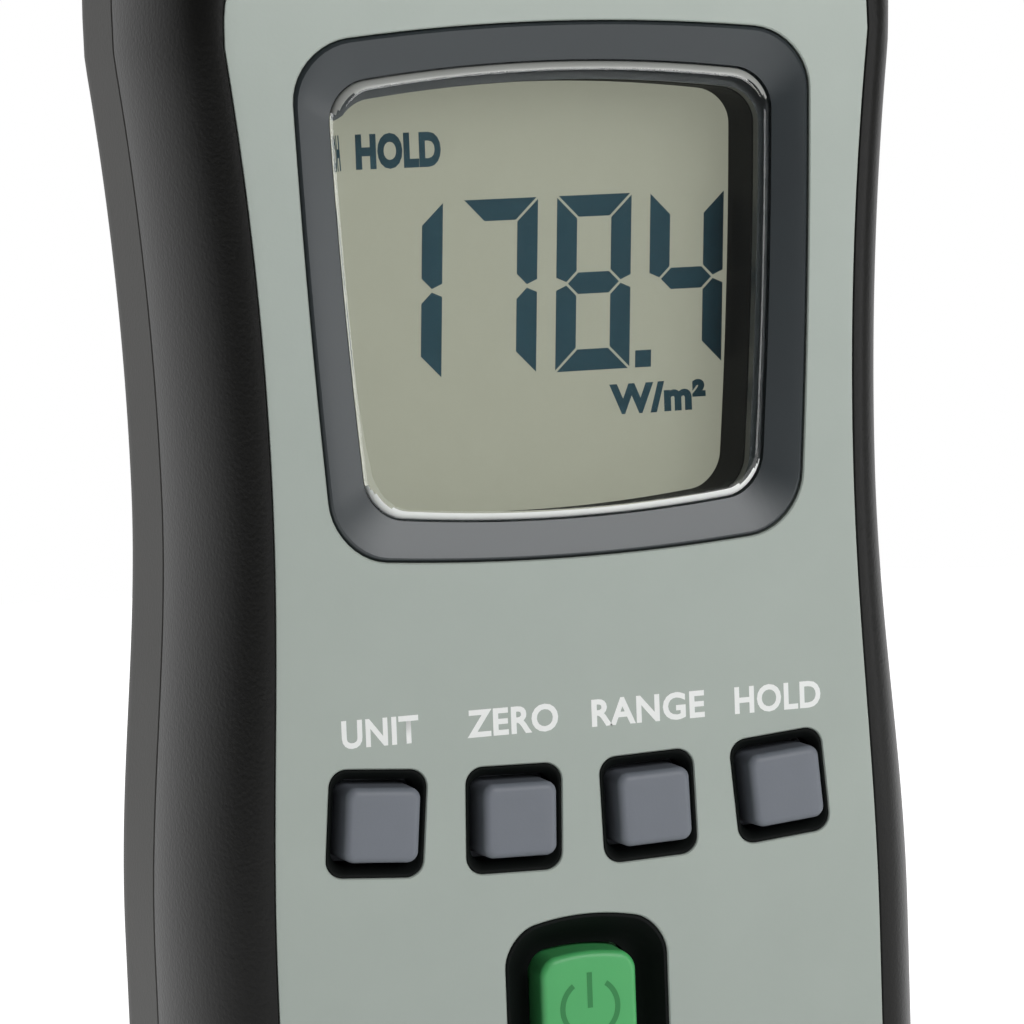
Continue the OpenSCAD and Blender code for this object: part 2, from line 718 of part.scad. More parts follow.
// Tapered coil springs on the negative ends
spring_turns = 3.5;
spring_steps = 10;
spring_sides = 6;
wire_r = 0.3;
spring_r0 = 3.6;
spring_r1 = 2;
function coil_point(t) =
    let (r = spring_r0 + (spring_r1 - spring_r0) * t)
    [r * cos(360 * spring_turns * t), r * sin(360 * spring_turns * t), wire_r + (spring_l - 2 * wire_r) * t];
function coil_ring(t) =
    let (c = coil_point(t), a = 360 * spring_turns * t)
    [for (j = [0:spring_sides - 1])
        let (b = 360 * j / spring_sides)
        c + [wire_r * cos(b) * cos(a), wire_r * cos(b) * sin(a), wire_r * sin(b)]];
module coil() {
    n = spring_turns * spring_steps;
    rings = [for (k = [0:n]) coil_ring(k / n)];
    s = spring_sides;
    polyhedron(
        points = [for (r = rings) for (p = r) p],
        faces = concat(
            [[for (j = [0:s - 1]) j]],
            [for (k = [0:n - 1]) for (j = [0:s - 1]) [k * s + j, (k + 1) * s + (j + 1) % s, k * s + (j + 1) % s]],
            [for (k = [0:n - 1]) for (j = [0:s - 1]) [k * s + j, (k + 1) * s + j, (k + 1) * s + (j + 1) % s]],
            [[for (j = [s - 1:-1:0]) n * s + j]]));
}
module battery_springs() color(metal_color) {
    for (i = [0:cells - 1]) {
        up = i % 2 == 0;
        x = (i - (cells - 1) / 2) * cell_pitch;
        translate([x, face_y + cell_d_mid, up ? bay_z + plate_t : bay_z1 - plate_t]) rotate([up ? 0 : 180, 0, 0]) coil();
    }
}

// Spring steel contact plates on both end walls of the bay
module battery_plates() color(metal_color) {
    h = cell_d - 3 * cell_gap;
    for (i = [0:cells - 1], z = [bay_z, bay_z1 - plate_t])
        let (x = (i - (cells - 1) / 2) * cell_pitch)
        block([x - h / 2, cell_d_mid - h / 2, z], [x + h / 2, cell_d_mid + h / 2 - tab_t, z + plate_t]);
}

// Sensor holder: a flanged barrel gripped by both shells
module sensor_holder() color(black_color) {
    top = case_l + sensor_rim;
    translate([0, parting_y, 0]) rotate_extrude($fn = 64) polygon([
        [sensor_r - sensor_wall, sensor_seat_z],
        [sensor_r, sensor_seat_z],
        [sensor_r, sensor_low - sensor_lip_t],
        [sensor_r + sensor_lip, sensor_low - sensor_lip_t],
        [sensor_r + sensor_lip, sensor_low - seat_gap],
        [sensor_r, sensor_low - seat_gap],
        [sensor_r, top - sensor_rim / 2],
        [sensor_r - sensor_rim / 2, top],
        [diffuser_r + seat_gap + sensor_rim, top],
        [diffuser_r + seat_gap, top - sensor_rim],
        [diffuser_r + seat_gap, case_l + sensor_proud - diffuser_dome - diffuser_t],
        [diffuser_r - sensor_rim, case_l + sensor_proud - diffuser_dome - diffuser_t],
        [diffuser_r - sensor_rim, case_l - wall - diffuser_t],
        [sensor_r - sensor_wall, case_l - wall - diffuser_t]]);
}

// Opal diffuser with a low dome, made by turning an arc
dome_steps = 8;
module sensor_diffuser() color("#eceeea") {
    base = case_l + sensor_proud - diffuser_dome;
    translate([0, parting_y, 0]) rotate_extrude($fn = 64) polygon(concat(
        [[0, base - diffuser_t], [diffuser_r, base - diffuser_t]],
        [for (i = [0:dome_steps])
            let (x = diffuser_r * (1 - i / dome_steps))
            [x, base + diffuser_dome * (1 - pow(x / diffuser_r, 2))]]));
}

// Photodiode in a metal can with a glass window, on the small board under the diffuser
module photodiode() color(metal_color) {
    translate([0, parting_y, sensor_seat_z]) {
        cylinder(r = diode_r + diode_flange, h = diode_flange, $fn = 48);
        difference() {
            cylinder(r = diode_r, h = diode_h, $fn = 48);
            translate([0, 0, diode_h - diode_flange]) cylinder(r = diode_window_r, h = diode_h, $fn = 48);
        }
    }
}
module sensor_board() color("#1f5a3a")
    translate([0, parting_y, sensor_seat_z - sensor_board_t]) cylinder(r = sensor_r, h = sensor_board_t, $fn = 64);

// Pins that join the sensor board to the main board
header_pins = 3;
header_pitch = 2;
header_r = 0.3;
module sensor_header() color("#1b1c1e") {
    low = sensor_seat_z - sensor_board_t;
    for (i = [0:header_pins - 1])
        let (x = (i - (header_pins - 1) / 2) * header_pitch)
        block([x - header_r, board_d + board_t, board_z1 - header_pitch], [x + header_r, board_d + board_t + 2 * header_r, low]);
    block([-header_pins * header_pitch / 2, board_d + board_t, board_z1 - header_pitch],
        [header_pins * header_pitch / 2, board_d + board_t + header_pitch, board_z1 - header_r]);
}

// Brass insert for a tripod screw, with grooves that lock it in its boss
insert_groove = 0.5;
module tripod_insert() color("#c3a35a") {
    difference() {
        rod(0, tripod_z, insert_r, case_t - tripod_l, case_t, 64);
        rod(0, tripod_z, tripod_r, case_t - tripod_l + insert_groove, case_t + over, 64);
    }
}

// Pan-head screws along the depth, heads towards the back
slot_share = 0.6;
module screw(x, z, r, l, head_r, head_t, head_d) {
    rod(x, z, r, head_d - l, head_d);
    difference() {
        rod(x, z, head_r, head_d, head_d + head_t);
        for (a = [0, 90])
            translate([x, face_y + head_d + head_t / 2, z]) rotate([0, a, 0])
                translate([-head_r * slot_share, 0, -r / 4]) cube([2 * head_r * slot_share, head_t, r / 2]);
    }
}
module case_screws() color(metal_color)
    for (p = posts) screw(p[0], p[1], screw_r, screw_l, screw_head_r, screw_head_t, screw_seat_d);
module board_screws() color(metal_color)
    for (p = board_posts) screw(p[0], p[1], board_screw_r, board_screw_l, board_head_r, board_head_t, board_d + board_t);

front_shell();
back_shell();
face_panel();
display_bezel();
display_lens();
lcd_frame();
lcd_glass();
contact_strips();
circuit_board();
processor_chip();
board_parts();
tact_switches();
function_key(0);  // unit_key
function_key(1);  // zero_key
function_key(2);  // range_key
function_key(3);  // hold_key
power_key();
stem(key_x(0), key_z(0), key_flange_d + flange_t);  // unit_stem
stem(key_x(1), key_z(1), key_flange_d + flange_t);  // zero_stem
stem(key_x(2), key_z(2), key_flange_d + flange_t);  // range_stem
stem(key_x(3), key_z(3), key_flange_d + flange_t);  // hold_stem
stem(0, power_z, power_flange_d + flange_t);  // power_stem
battery_cover();
battery_cells();
battery_springs();
battery_plates();
sensor_holder();
sensor_diffuser();
photodiode();
sensor_board();
sensor_header();
tripod_insert();
case_screws();
board_screws();
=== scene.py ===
"""Looks of a pocket irradiance meter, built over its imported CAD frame.

Sizes are in millimetres in the row frame: X across, Z up from the foot, and the face looks along -Y.
A depth is measured from the face plane towards the back, as in the part's source.
"""

import logging
import math
from collections.abc import Iterable, Iterator, Sequence
from contextlib import contextmanager
from dataclasses import dataclass, field
from enum import Enum

import bmesh
import bpy
from mathutils import Matrix, Vector


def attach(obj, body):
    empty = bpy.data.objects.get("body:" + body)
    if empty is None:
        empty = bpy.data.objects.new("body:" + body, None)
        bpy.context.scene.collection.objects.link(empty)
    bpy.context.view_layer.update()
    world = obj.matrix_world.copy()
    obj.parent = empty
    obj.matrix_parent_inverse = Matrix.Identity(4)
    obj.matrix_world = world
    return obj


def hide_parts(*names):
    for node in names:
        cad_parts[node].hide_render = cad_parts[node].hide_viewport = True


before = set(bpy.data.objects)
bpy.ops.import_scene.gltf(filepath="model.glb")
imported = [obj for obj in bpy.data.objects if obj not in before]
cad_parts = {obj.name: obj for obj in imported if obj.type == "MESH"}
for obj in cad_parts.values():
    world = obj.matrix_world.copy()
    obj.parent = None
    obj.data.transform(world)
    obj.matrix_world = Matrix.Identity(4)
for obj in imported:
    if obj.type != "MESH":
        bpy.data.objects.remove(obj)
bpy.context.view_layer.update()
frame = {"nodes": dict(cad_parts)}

log = logging.getLogger("irradiance_meter")

Point2 = tuple[float, float]
Point3 = tuple[float, float, float]
Ring = list[Point3]

# Places and sizes that several pieces share, as in the part's source
MM = 0.001
CASE = "case"
FACE_Y = -15.9
PARTING_D = 15.2
BACK_D = 32.9
FAR_D = 40.0
CROWN_Z = 110.0
HEAD_FLOOR_Z = 105.0
TRIPOD_Z = 76.0
INSERT_R = 5.2
INSERT_L = 8.0
SCREW_SEAT_D = 23.0
POSTS: tuple[Point2, ...] = ((26.3, 24.0), (-26.3, 24.0), (22.2, 97.5), (-22.2, 97.5))
INK_T = 0.01
WELD_GAP = 0.0005
LETTER_SPACING = 1.06
WHITE = (1.0, 1.0, 1.0, 1.0)
# Places of a mix node's colour sockets, for its number, vector and colour sockets have the same names
MIX_A, MIX_B, MIX_RESULT = 6, 7, 2
# Length of one wave of the wave texture at a scale of 1
WAVE_LENGTH = 0.314


# Colour and node helpers


def linear(hex_colour: str) -> tuple[float, float, float, float]:
    """Turns an sRGB hex colour into linear light.

    Args:
        hex_colour: Six hex digits after a hash sign.

    Returns:
        Linear red, green, blue and an alpha of 1.
    """
    digits = hex_colour.lstrip("#")
    shares = [int(digits[i : i + 2], 16) / 255 for i in (0, 2, 4)]
    red, green, blue = (s / 12.92 if s <= 0.04045 else ((s + 0.055) / 1.055) ** 2.4 for s in shares)
    return red, green, blue, 1.0


def add_node(
    tree: bpy.types.NodeTree,
    kind: str,
    settings: dict[str, object] | None = None,
    values: dict[str | int, object] | None = None,
    links: dict[str | int, bpy.types.NodeSocket] | None = None,
) -> bpy.types.Node:
    """Adds a shader node with its settings, socket values and incoming links.

    Args:
        tree: The node tree that gets the node.
        kind: Blender's name of the node type.
        settings: Attributes of the node itself.
        values: Sockets, by name or place, and the unvarying values that they hold.
        links: Sockets, by name or place, and the output sockets that feed them.

    Returns:
        The new node.
    """
    node = tree.nodes.new(kind)
    for name, value in (settings or {}).items():
        setattr(node, name, value)
    for name, value in (values or {}).items():
        node.inputs[name].default_value = value
    for name, source in (links or {}).items():
        tree.links.new(source, node.inputs[name])
    return node


def fresh_tree(owner: bpy.types.Material | bpy.types.World) -> bpy.types.NodeTree:
    """Turns on an owner's nodes and clears them.

    Args:
        owner: The material or the world.

    Returns:
        The emptied node tree.
    """
    owner.use_nodes = True
    owner.node_tree.nodes.clear()
    return owner.node_tree


def in_scene(name: str, data: bpy.types.ID) -> bpy.types.Object:
    """Makes an object from its data.

    Args:
        name: Name of the object.
        data: Its mesh, curve, camera or lamp.

    Returns:
        The object, linked to the scene.
    """
    made = bpy.data.objects.new(name, data)
    bpy.context.scene.collection.objects.link(made)
    return made


@contextmanager
def edited(mesh: bpy.types.Mesh) -> Iterator[bmesh.types.BMesh]:
    """Opens a mesh for an edit, and writes it back afterwards.

    Args:
        mesh: The mesh.

    Yields:
        The mesh while it is edited.
    """
    work = bmesh.new()
    work.from_mesh(mesh)
    yield work
    work.to_mesh(mesh)
    work.free()


# Finishes


@dataclass(frozen=True)
class Finish:
    """A material with a faintly mottled base and a fine grain.

    Each finish is named for its real material and how its surface was made, or for the light that it paints, and its
    grain has a real size.
    """

    name: str
    colour: str
    roughness: float = 0.5
    metallic: float = 0.0
    ior: float = 1.5
    grain_mm: float = 0.3
    grain_depth_mm: float = 0.01
    mottle_mm: float = 6.0
    mottle_share: float = 0.05
    subsurface: float = 0.0
    transmission: float = 0.0
    specular: float = 0.5
    glow: float = 0.0

    def shades(self) -> tuple[str, str]:
        """Works out the two shades of the mottle.

        Returns:
            The darker and the lighter shade as hex colours.
        """
        digits = self.colour.lstrip("#")
        parts = [int(digits[i : i + 2], 16) for i in (0, 2, 4)]
        low, high = (
            "#" + "".join(f"{min(255, round(p * share)):02x}" for p in parts)
            for share in (1 - self.mottle_share, 1 + self.mottle_share)
        )
        return low, high

    def build(self) -> bpy.types.Material:
        """Makes the material, unless it was made before.

        Returns:
            The material.
        """
        made = bpy.data.materials.get(self.name)
        if made:
            return made
        material = bpy.data.materials.new(self.name)
        tree = fresh_tree(material)
        place = add_node(tree, "ShaderNodeTexCoord").outputs["Object"]
        add_node(tree, "ShaderNodeOutputMaterial", links={"Surface": self.surface(tree, place)})
        return material

    def base_colour(self, tree: bpy.types.NodeTree, place: bpy.types.NodeSocket) -> bpy.types.NodeSocket:
        """Mottles the base colour.

        Args:
            tree: The material's node tree.
            place: Object coordinates in metres.

        Returns:
            The colour output that feeds the shader.
        """
        low, high = self.shades()
        mottle = {"Scale": 1 / (self.mottle_mm * MM), "Detail": 4.0, "Roughness": 0.6}
        cloud = add_node(tree, "ShaderNodeTexNoise", values=mottle, links={"Vector": place})
        ends, share = {MIX_A: linear(low), MIX_B: linear(high)}, {0: cloud.outputs["Fac"]}
        return add_node(tree, "ShaderNodeMix", {"data_type": "RGBA"}, ends, share).outputs[MIX_RESULT]

    def relief(self, tree: bpy.types.NodeTree, place: bpy.types.NodeSocket) -> bpy.types.NodeSocket:
        """Returns the height of the grain, from 0 to 1, fed by object coordinates in metres."""
        grain = {"Scale": 1 / (self.grain_mm * MM), "Detail": 2.0, "Roughness": 0.5}
        return add_node(tree, "ShaderNodeTexNoise", values=grain, links={"Vector": place}).outputs["Fac"]

    def surface(self, tree: bpy.types.NodeTree, place: bpy.types.NodeSocket) -> bpy.types.NodeSocket:
        """Builds the shader.

        Args:
            tree: The material's node tree.
            place: Object coordinates in metres.

        Returns:
            The shader output.
        """
        bump = add_node(
            tree,
            "ShaderNodeBump",
            values={"Strength": 1.0, "Distance": self.grain_depth_mm * MM},
            links={"Height": self.relief(tree, place)},
        )
        return add_node(
            tree,
            "ShaderNodeBsdfPrincipled",
            values={
                "Roughness": self.roughness,
                "Metallic": self.metallic,
                "IOR": self.ior,
                "Subsurface Weight": self.subsurface,
                "Subsurface Scale": MM,
                "Transmission Weight": self.transmission,
                "Specular IOR Level": self.specular,
                "Emission Color": linear(self.colour),
                "Emission Strength": self.glow,
            },
            links={"Base Color": self.base_colour(tree, place), "Normal": bump.outputs["Normal"]},
        ).outputs["BSDF"]


@dataclass(frozen=True)
class StripedFinish(Finish):
    """A finish with even stripes across X, as on the striped silicone contact strips."""

    stripe_mm: float = 0.5
    stripe_colour: str = "#8a8f92"

    def base_colour(self, tree: bpy.types.NodeTree, place: bpy.types.NodeSocket) -> bpy.types.NodeSocket:
        """Stripes the base colour.

        Args:
            tree: The material's node tree.
            place: Object coordinates in metres.

        Returns:
            The colour output that feeds the shader.
        """
        stripes = {"Scale": WAVE_LENGTH / (self.stripe_mm * MM)}
        wave = add_node(tree, "ShaderNodeTexWave", {"bands_direction": "X"}, stripes, {"Vector": place})
        ends, share = {MIX_A: linear(self.colour), MIX_B: linear(self.stripe_colour)}, {0: wave.outputs["Fac"]}
        return add_node(tree, "ShaderNodeMix", {"data_type": "RGBA"}, ends, share).outputs[MIX_RESULT]


@dataclass(frozen=True)
class ClearFinish(Finish):
    """A clear finish that lets the lamps' light straight through to what lies behind it."""

    def surface(self, tree: bpy.types.NodeTree, place: bpy.types.NodeSocket) -> bpy.types.NodeSocket:
        """Builds a shader that shadow rays pass through.

        Args:
            tree: The material's node tree.
            place: Object coordinates in metres.

        Returns:
            The shader output.
        """
        body = super().surface(tree, place)
        path = add_node(tree, "ShaderNodeLightPath")
        clear = add_node(tree, "ShaderNodeBsdfTransparent", values={"Color": linear("#f2f4f2")})
        return add_node(
            tree, "ShaderNodeMixShader", links={0: path.outputs["Is Shadow Ray"], 1: body, 2: clear.outputs[0]}
        ).outputs[0]


# Moulded ABS with a spark-eroded texture: dull charcoal, dark face on, paler where it turns to the light
SHELL_ABS = Finish(
    "moulded ABS, spark-eroded charcoal", "#181817", roughness=0.38, specular=0.17, grain_mm=0.35, grain_depth_mm=0.03
)
# The back shell comes from another batch: a shade warmer and duller
BACK_ABS = Finish(
    "moulded ABS, spark-eroded warm charcoal", "#363532", 0.6, specular=0.4, grain_mm=0.35, grain_depth_mm=0.03
)
# Silver lacquer sprayed on ABS: aluminium flake gives a soft sheen, and it looks grey-green
FACE_LACQUER = Finish(
    "silver lacquer, sprayed", "#a0a9a2", 0.42, 0.12, grain_mm=0.25, grain_depth_mm=0.004, mottle_share=0.02
)
# Dark grey lacquer sprayed on ABS: smoother than the shells, with a blue cast
BEZEL_LACQUER = Finish("dark grey lacquer, sprayed", "#2c3235", 0.3, 0.1, grain_depth_mm=0.004, mottle_share=0.03)
# Polished acrylic: clear, and it lets the lamps shine on the glass behind it
LENS_ACRYLIC = ClearFinish(
    "polished clear acrylic",
    "#fdfefd",
    roughness=0.02,
    ior=1.49,
    grain_mm=9.0,
    grain_depth_mm=0.0005,
    mottle_share=0.0,
    transmission=1.0,
)
# The rolled edge carries painted highlight lines, which stand in for the light it catches: a grey line on its upper
# faces and a white one on its lower faces
EDGE_PAINTED_HIGHLIGHT_ABOVE = Finish("acrylic edge, painted grey highlight", "#9fa19d", 0.25, mottle_share=0.01, grain_depth_mm=0.001)
EDGE_PAINTED_HIGHLIGHT_BELOW = Finish("acrylic edge, painted white highlight", "#f0f3f0", 0.35, mottle_share=0.01, grain_depth_mm=0.001)
# Black ABS left matte from the mould: almost no light comes back from the well; on the key collars of the front shell
# it is painted shade
WELL_ABS = Finish("moulded ABS, matte black", "#0b0e0d", 0.6, specular=0.08)
# Liquid crystal glass: an even warm grey, with a painted glow that evens out the shade that the well casts on it
LCD_POLARISER = Finish(
    "liquid crystal glass, matte polariser",
    "#5e5f55",
    roughness=0.55,
    specular=0.2,
    # Painted light: the glass glows though nothing in it shines
    glow=2.0,
    grain_mm=0.5,
    grain_depth_mm=0.003,
    mottle_mm=3.0,
    mottle_share=0.03,
)
# A driven segment turns the light off: dark blue-green and dull
LCD_SEGMENT = Finish("liquid crystal, driven segment", "#183843", 0.55, specular=0.15, mottle_mm=2.0)
# Silicone rubber keys with a sprayed hard coat: satin grey with a violet cast
KEY_SILICONE = Finish(
    "moulded silicone, satin grey coat", "#6a6f77", grain_mm=0.25, grain_depth_mm=0.006, mottle_share=0.03
)
# Green silicone: bright and slightly waxy
POWER_SILICONE = Finish(
    "moulded silicone, satin green coat", "#4aa962", 0.42, grain_depth_mm=0.006, mottle_share=0.03, subsurface=0.05
)
# Pad-printed inks, flat and even
WHITE_INK = Finish("pad-printed white ink", "#eef0ee", grain_mm=0.1, grain_depth_mm=0.002, mottle_share=0.01)
GREEN_INK = Finish("pad-printed dark green ink", "#1f7a3c", grain_mm=0.1, grain_depth_mm=0.002, mottle_share=0.03)
# Opal acrylic dome: white, lit from inside by the light it scatters
OPAL_ACRYLIC = Finish(
    "opal acrylic, polished dome", "#eff1ee", 0.3, subsurface=0.4, mottle_share=0.01, grain_depth_mm=0.001
)
# Nickel plate on steel: bright with a soft blur
NICKEL_PLATE = Finish(
    "nickel plate on steel", "#c9c7c0", 0.28, 1.0, grain_mm=0.4, grain_depth_mm=0.002, mottle_share=0.03
)
# Zinc plate with black passivation on the case screws: dark with a soft shine
BLACK_ZINC = Finish("black zinc plate on steel", "#34353a", 0.4, 0.9, grain_depth_mm=0.004)
# Turned brass: yellow with fine tool marks
TURNED_BRASS = Finish("turned brass", "#c9a45c", 0.3, 1.0, grain_mm=0.2, grain_depth_mm=0.003, mottle_share=0.04)
# Shrink sleeve of a plain cell: glossy film over steel
CELL_SLEEVE = Finish("shrink sleeve, glossy copper film", "#b0763a", 0.25, 0.6, mottle_share=0.02, grain_depth_mm=0.001)
CELL_SLEEVE_DARK = Finish("shrink sleeve, glossy black film", "#1b1c1f", 0.25, mottle_share=0.02, grain_depth_mm=0.001)
# Boards and what is on them: green mask over weave, dull black epoxy, and waxy white acetal stems
SOLDER_MASK = Finish("solder mask over glass laminate", "#1c5a3a", 0.35, grain_mm=0.5, mottle_mm=1.5, mottle_share=0.12)
CHIP_EPOXY = Finish("transfer-moulded epoxy", "#26282b", 0.6, grain_mm=0.1, grain_depth_mm=0.003)
NATURAL_ACETAL = Finish("moulded acetal, natural white", "#dcdcd6", 0.4, subsurface=0.1, mottle_share=0.02)
STRIP_SILICONE = StripedFinish("striped conductive silicone", "#2e3236", roughness=0.7)


# Shapes


def placed(points: Iterable[Point2], depth: float) -> Ring:
    """Puts an outline given in X and Z at a depth behind the face.

    Args:
        points: The outline.
        depth: Depth behind the face plane.

    Returns:
        One ring of a loft.
    """
    return [(x, FACE_Y + depth, z) for x, z in points]


def blend_points(a: Sequence[Point2], b: Sequence[Point2], share: float) -> list[Point2]:
    """Returns the outline that lies a share of the way from a to b."""
    return [(p[0] + share * (q[0] - p[0]), p[1] + share * (q[1] - p[1])) for p, q in zip(a, b)]


def rounded(width: float, height: float, radius: float, zc: float = 0.0, steps: int = 10) -> list[Point2]:
    """Makes a rounded rectangle.

    Args:
        width: Size along X.
        height: Size along Z.
        radius: Corner radius.
        zc: Height of the centre.
        steps: Segments in each corner.

    Returns:
        The outline, from the lower right corner and anticlockwise as seen from the front.
    """
    points = []
    for k, (sx, sz) in enumerate(((1, -1), (1, 1), (-1, 1), (-1, -1))):
        for i in range(steps + 1):
            a = math.radians(90 * k - 90 + 90 * i / steps)
            x, z = sx * (width / 2 - radius), zc + sz * (height / 2 - radius)
            points.append((x + radius * math.cos(a), z + radius * math.sin(a)))
    return points


@dataclass(frozen=True)
class Pane:
    """A rounded trapezium with crowned ends and bellied sides, as the bezel and the wells are."""

    top: float
    bottom: float
    z0: float
    z1: float
    radius: float
    crown: float
    crown_low: float
    belly: float = 0.0
    corner_share: float = 0.5
    arc: int = 10
    edge: int = 16

    def drawn_in(self, by: float) -> list[Point2]:
        """Makes the outline, drawn in all round.

        Args:
            by: How far it is drawn in, or out where it is negative.

        Returns:
            The outline, from the lower right corner and anticlockwise as seen from the front.
        """
        top, bottom, z0, z1 = self.top - by, self.bottom - by, self.z0 + by, self.z1 - by
        r = max(self.radius - by * self.corner_share, 0.2)
        hm, zm = (top + bottom) / 2, (z0 + z1) / 2
        corners = [(hm - r, z0 + r, -90), (hm - r, z1 - r, 0), (-hm + r, z1 - r, 90), (-hm + r, z0 + r, 180)]
        base = []
        for k, (x, z, start) in enumerate(corners):
            for i in range(self.arc + 1):
                a = math.radians(start + 90 * i / self.arc)
                base.append((x + r * math.cos(a), z + r * math.sin(a)))
            a = math.radians(start + 90)
            nx, nz, _ = corners[(k + 1) % 4]
            for i in range(1, self.edge):
                s = i / self.edge
                base.append((x + (nx - x) * s + r * math.cos(a), z + (nz - z) * s + r * math.sin(a)))
        points = []
        for x, z in base:
            t = (z - z0) / (z1 - z0)
            half = bottom + (top - bottom) * t + self.belly * 4 * t * (1 - t)
            lift = (self.crown if z > zm else -self.crown_low) * (1 - (x / hm) ** 2) * abs(2 * t - 1)
            points.append((x * half / hm, z + lift))
        return points

    def ring(self, by: float, depth: float) -> Ring:
        """Returns the outline, drawn in all round, as a ring at a depth."""
        return placed(self.drawn_in(by), depth)


@dataclass(frozen=True)
class Waisted:
    """An outline of the case: half-widths at the head, waist and hip, and the foot and crown heights."""

    head: float
    waist: float
    hip: float
    foot: float
    crown: float
    waist_z: float = 60.0
    head_z: float = 95.5
    hip_z: float = 22.0
    foot_r: float = 10.0
    dome_h: float = 11.0
    dome_power: float = 3.2
    foot_steps: int = 12
    side_steps: int = 56
    dome_steps: int = 22

    def inset(self, by: float) -> "Waisted":
        """Returns the outline drawn in all round."""
        return Waisted(self.head - by, self.waist - by, self.hip - by, self.foot + by, self.crown - by)

    def half_at(self, z: float) -> float:
        """Finds the half-width at a height.

        Args:
            z: The height.

        Returns:
            The half-width.
        """
        if z > self.waist_z:
            u = min(1.0, (z - self.waist_z) / (self.head_z - self.waist_z))
            return self.waist + (self.head - self.waist) * u**2
        u = min(1.0, (self.waist_z - z) / (self.waist_z - self.hip_z))
        return self.waist + (self.hip - self.waist) * (1 - math.cos(math.pi * u)) / 2

    def points(self) -> list[Point2]:
        """Draws the outline.

        Returns:
            Its points, from the foot up the right side and down the left.
        """
        z0, z1 = self.foot + self.foot_r, self.crown - self.dome_h
        x0, x1 = self.half_at(z0) - self.foot_r, self.half_at(z1)
        right = []
        for i in range(self.foot_steps + 1):
            a = math.radians(-90 + 90 * i / self.foot_steps)
            right.append((x0 + self.foot_r * math.cos(a), z0 + self.foot_r * math.sin(a)))
        for i in range(1, self.side_steps + 1):
            z = z0 + (z1 - z0) * i / self.side_steps
            right.append((self.half_at(z), z))
        for i in range(1, self.dome_steps):
            a = math.radians(90 * i / self.dome_steps)
            right.append(
                (x1 * math.cos(a) ** (2 / self.dome_power), z1 + self.dome_h * math.sin(a) ** (2 / self.dome_power))
            )
        return right + [(0.0, self.crown)] + [(-x, z) for x, z in reversed(right)]

    def ring(self, by: float, depth: float) -> Ring:
        """Returns the outline, drawn in all round, as a ring at a depth."""
        return placed(self.inset(by).points(), depth)


def make_mesh(name: str, points: Sequence[Point3], faces: Sequence[Sequence[int]]) -> bpy.types.Object:
    """Makes an object from points in millimetres.

    Args:
        name: Name of the object.
        points: Its points.
        faces: Its faces, as places in the list of points.

    Returns:
        The object, linked to the scene, with normals that face outwards.
    """
    name = name.replace(" ", "-")
    mesh = bpy.data.meshes.new(name)
    mesh.from_pydata([tuple(c * MM for c in p) for p in points], [], [list(f) for f in faces])
    with edited(mesh) as work:
        bmesh.ops.recalc_face_normals(work, faces=work.faces)
    mesh.update()
    return in_scene(name, mesh)


def loft(name: str, rings: Sequence[Ring], closed: bool = False) -> bpy.types.Object:
    """Joins rings of equal length into one skin.

    Args:
        name: Name of the object.
        rings: The rings, in order along the depth.
        closed: True joins the last ring to the first, and False caps both ends.

    Returns:
        The object.
    """
    n, m = len(rings[0]), len(rings)
    faces: list[Sequence[int]] = []
    for k in range(m if closed else m - 1):
        nxt = (k + 1) % m
        for i in range(n):
            j = (i + 1) % n
            faces.append((k * n + i, k * n + j, nxt * n + j, nxt * n + i))
    if not closed:
        faces.append(tuple(range(n - 1, -1, -1)))
        faces.append(tuple(range((m - 1) * n, m * n)))
    return make_mesh(name, [p for ring in rings for p in ring], faces)


def prism(name: str, points: Sequence[Point2], d0: float, d1: float) -> bpy.types.Object:
    """Makes a flat piece whose outline lies in X and Z, from depth d0 to depth d1."""
    return loft(name, [placed(points, d0), placed(points, d1)])


def block(name: str, a: Point3, b: Point3) -> bpy.types.Object:
    """Makes a block between two corners given as (x, depth, z)."""
    return prism(name, [(b[0], a[2]), (b[0], b[2]), (a[0], b[2]), (a[0], a[2])], a[1], b[1])


def circle(x: float, z: float, radius: float, steps: int = 64) -> list[Point2]:
    """Returns a circle in X and Z."""
    turns = [math.tau * i / steps for i in range(steps)]
    return [(x + radius * math.cos(a), z + radius * math.sin(a)) for a in turns]


def quarter(steps: int, first: int = 0) -> list[Point2]:
    """Returns the steps of a quarter turn, each as its sine and 1 less its cosine."""
    turns = [math.radians(90 * i / steps) for i in range(first, steps + 1)]
    return [(math.sin(t), 1 - math.cos(t)) for t in turns]


def lathe(name: str, profile: Sequence[Point2], steps: int = 96) -> bpy.types.Object:
    """Turns a closed profile, given as (radius, height), about the Z axis.

    Args:
        name: Name of the object.
        profile: The closed profile, with no point on the axis unless its radius is 0.
        steps: Segments round the axis.

    Returns:
        The object, with its axis on Z at the origin.
    """
    rings = [
        [(r * math.cos(math.tau * i / steps), r * math.sin(math.tau * i / steps), z) for r, z in profile]
        for i in range(steps)
    ]
    made = loft(name, rings, closed=True)
    with edited(made.data) as work:
        bmesh.ops.remove_doubles(work, verts=work.verts, dist=WELD_GAP * MM)
        bmesh.ops.dissolve_degenerate(work, edges=work.edges, dist=WELD_GAP * MM / 10)
        bmesh.ops.recalc_face_normals(work, faces=work.faces)
    return made


def shifted(made: bpy.types.Object, turn: Matrix) -> bpy.types.Object:
    """Moves a piece's points by a matrix.

    Args:
        made: The piece.
        turn: The matrix, in millimetres.

    Returns:
        The piece.
    """
    scaled = turn.copy()
    scaled.translation = turn.translation * MM
    made.data.transform(scaled)
    made.data.update()
    return made


def standing(x: float, depth: float, z: float, angle: float = 0.0) -> Matrix:
    """Returns the matrix that turns a piece about X, by degrees, and moves it to its place in millimetres."""
    return Matrix.Translation((x, FACE_Y + depth, z)) @ Matrix.Rotation(math.radians(angle), 4, "X")


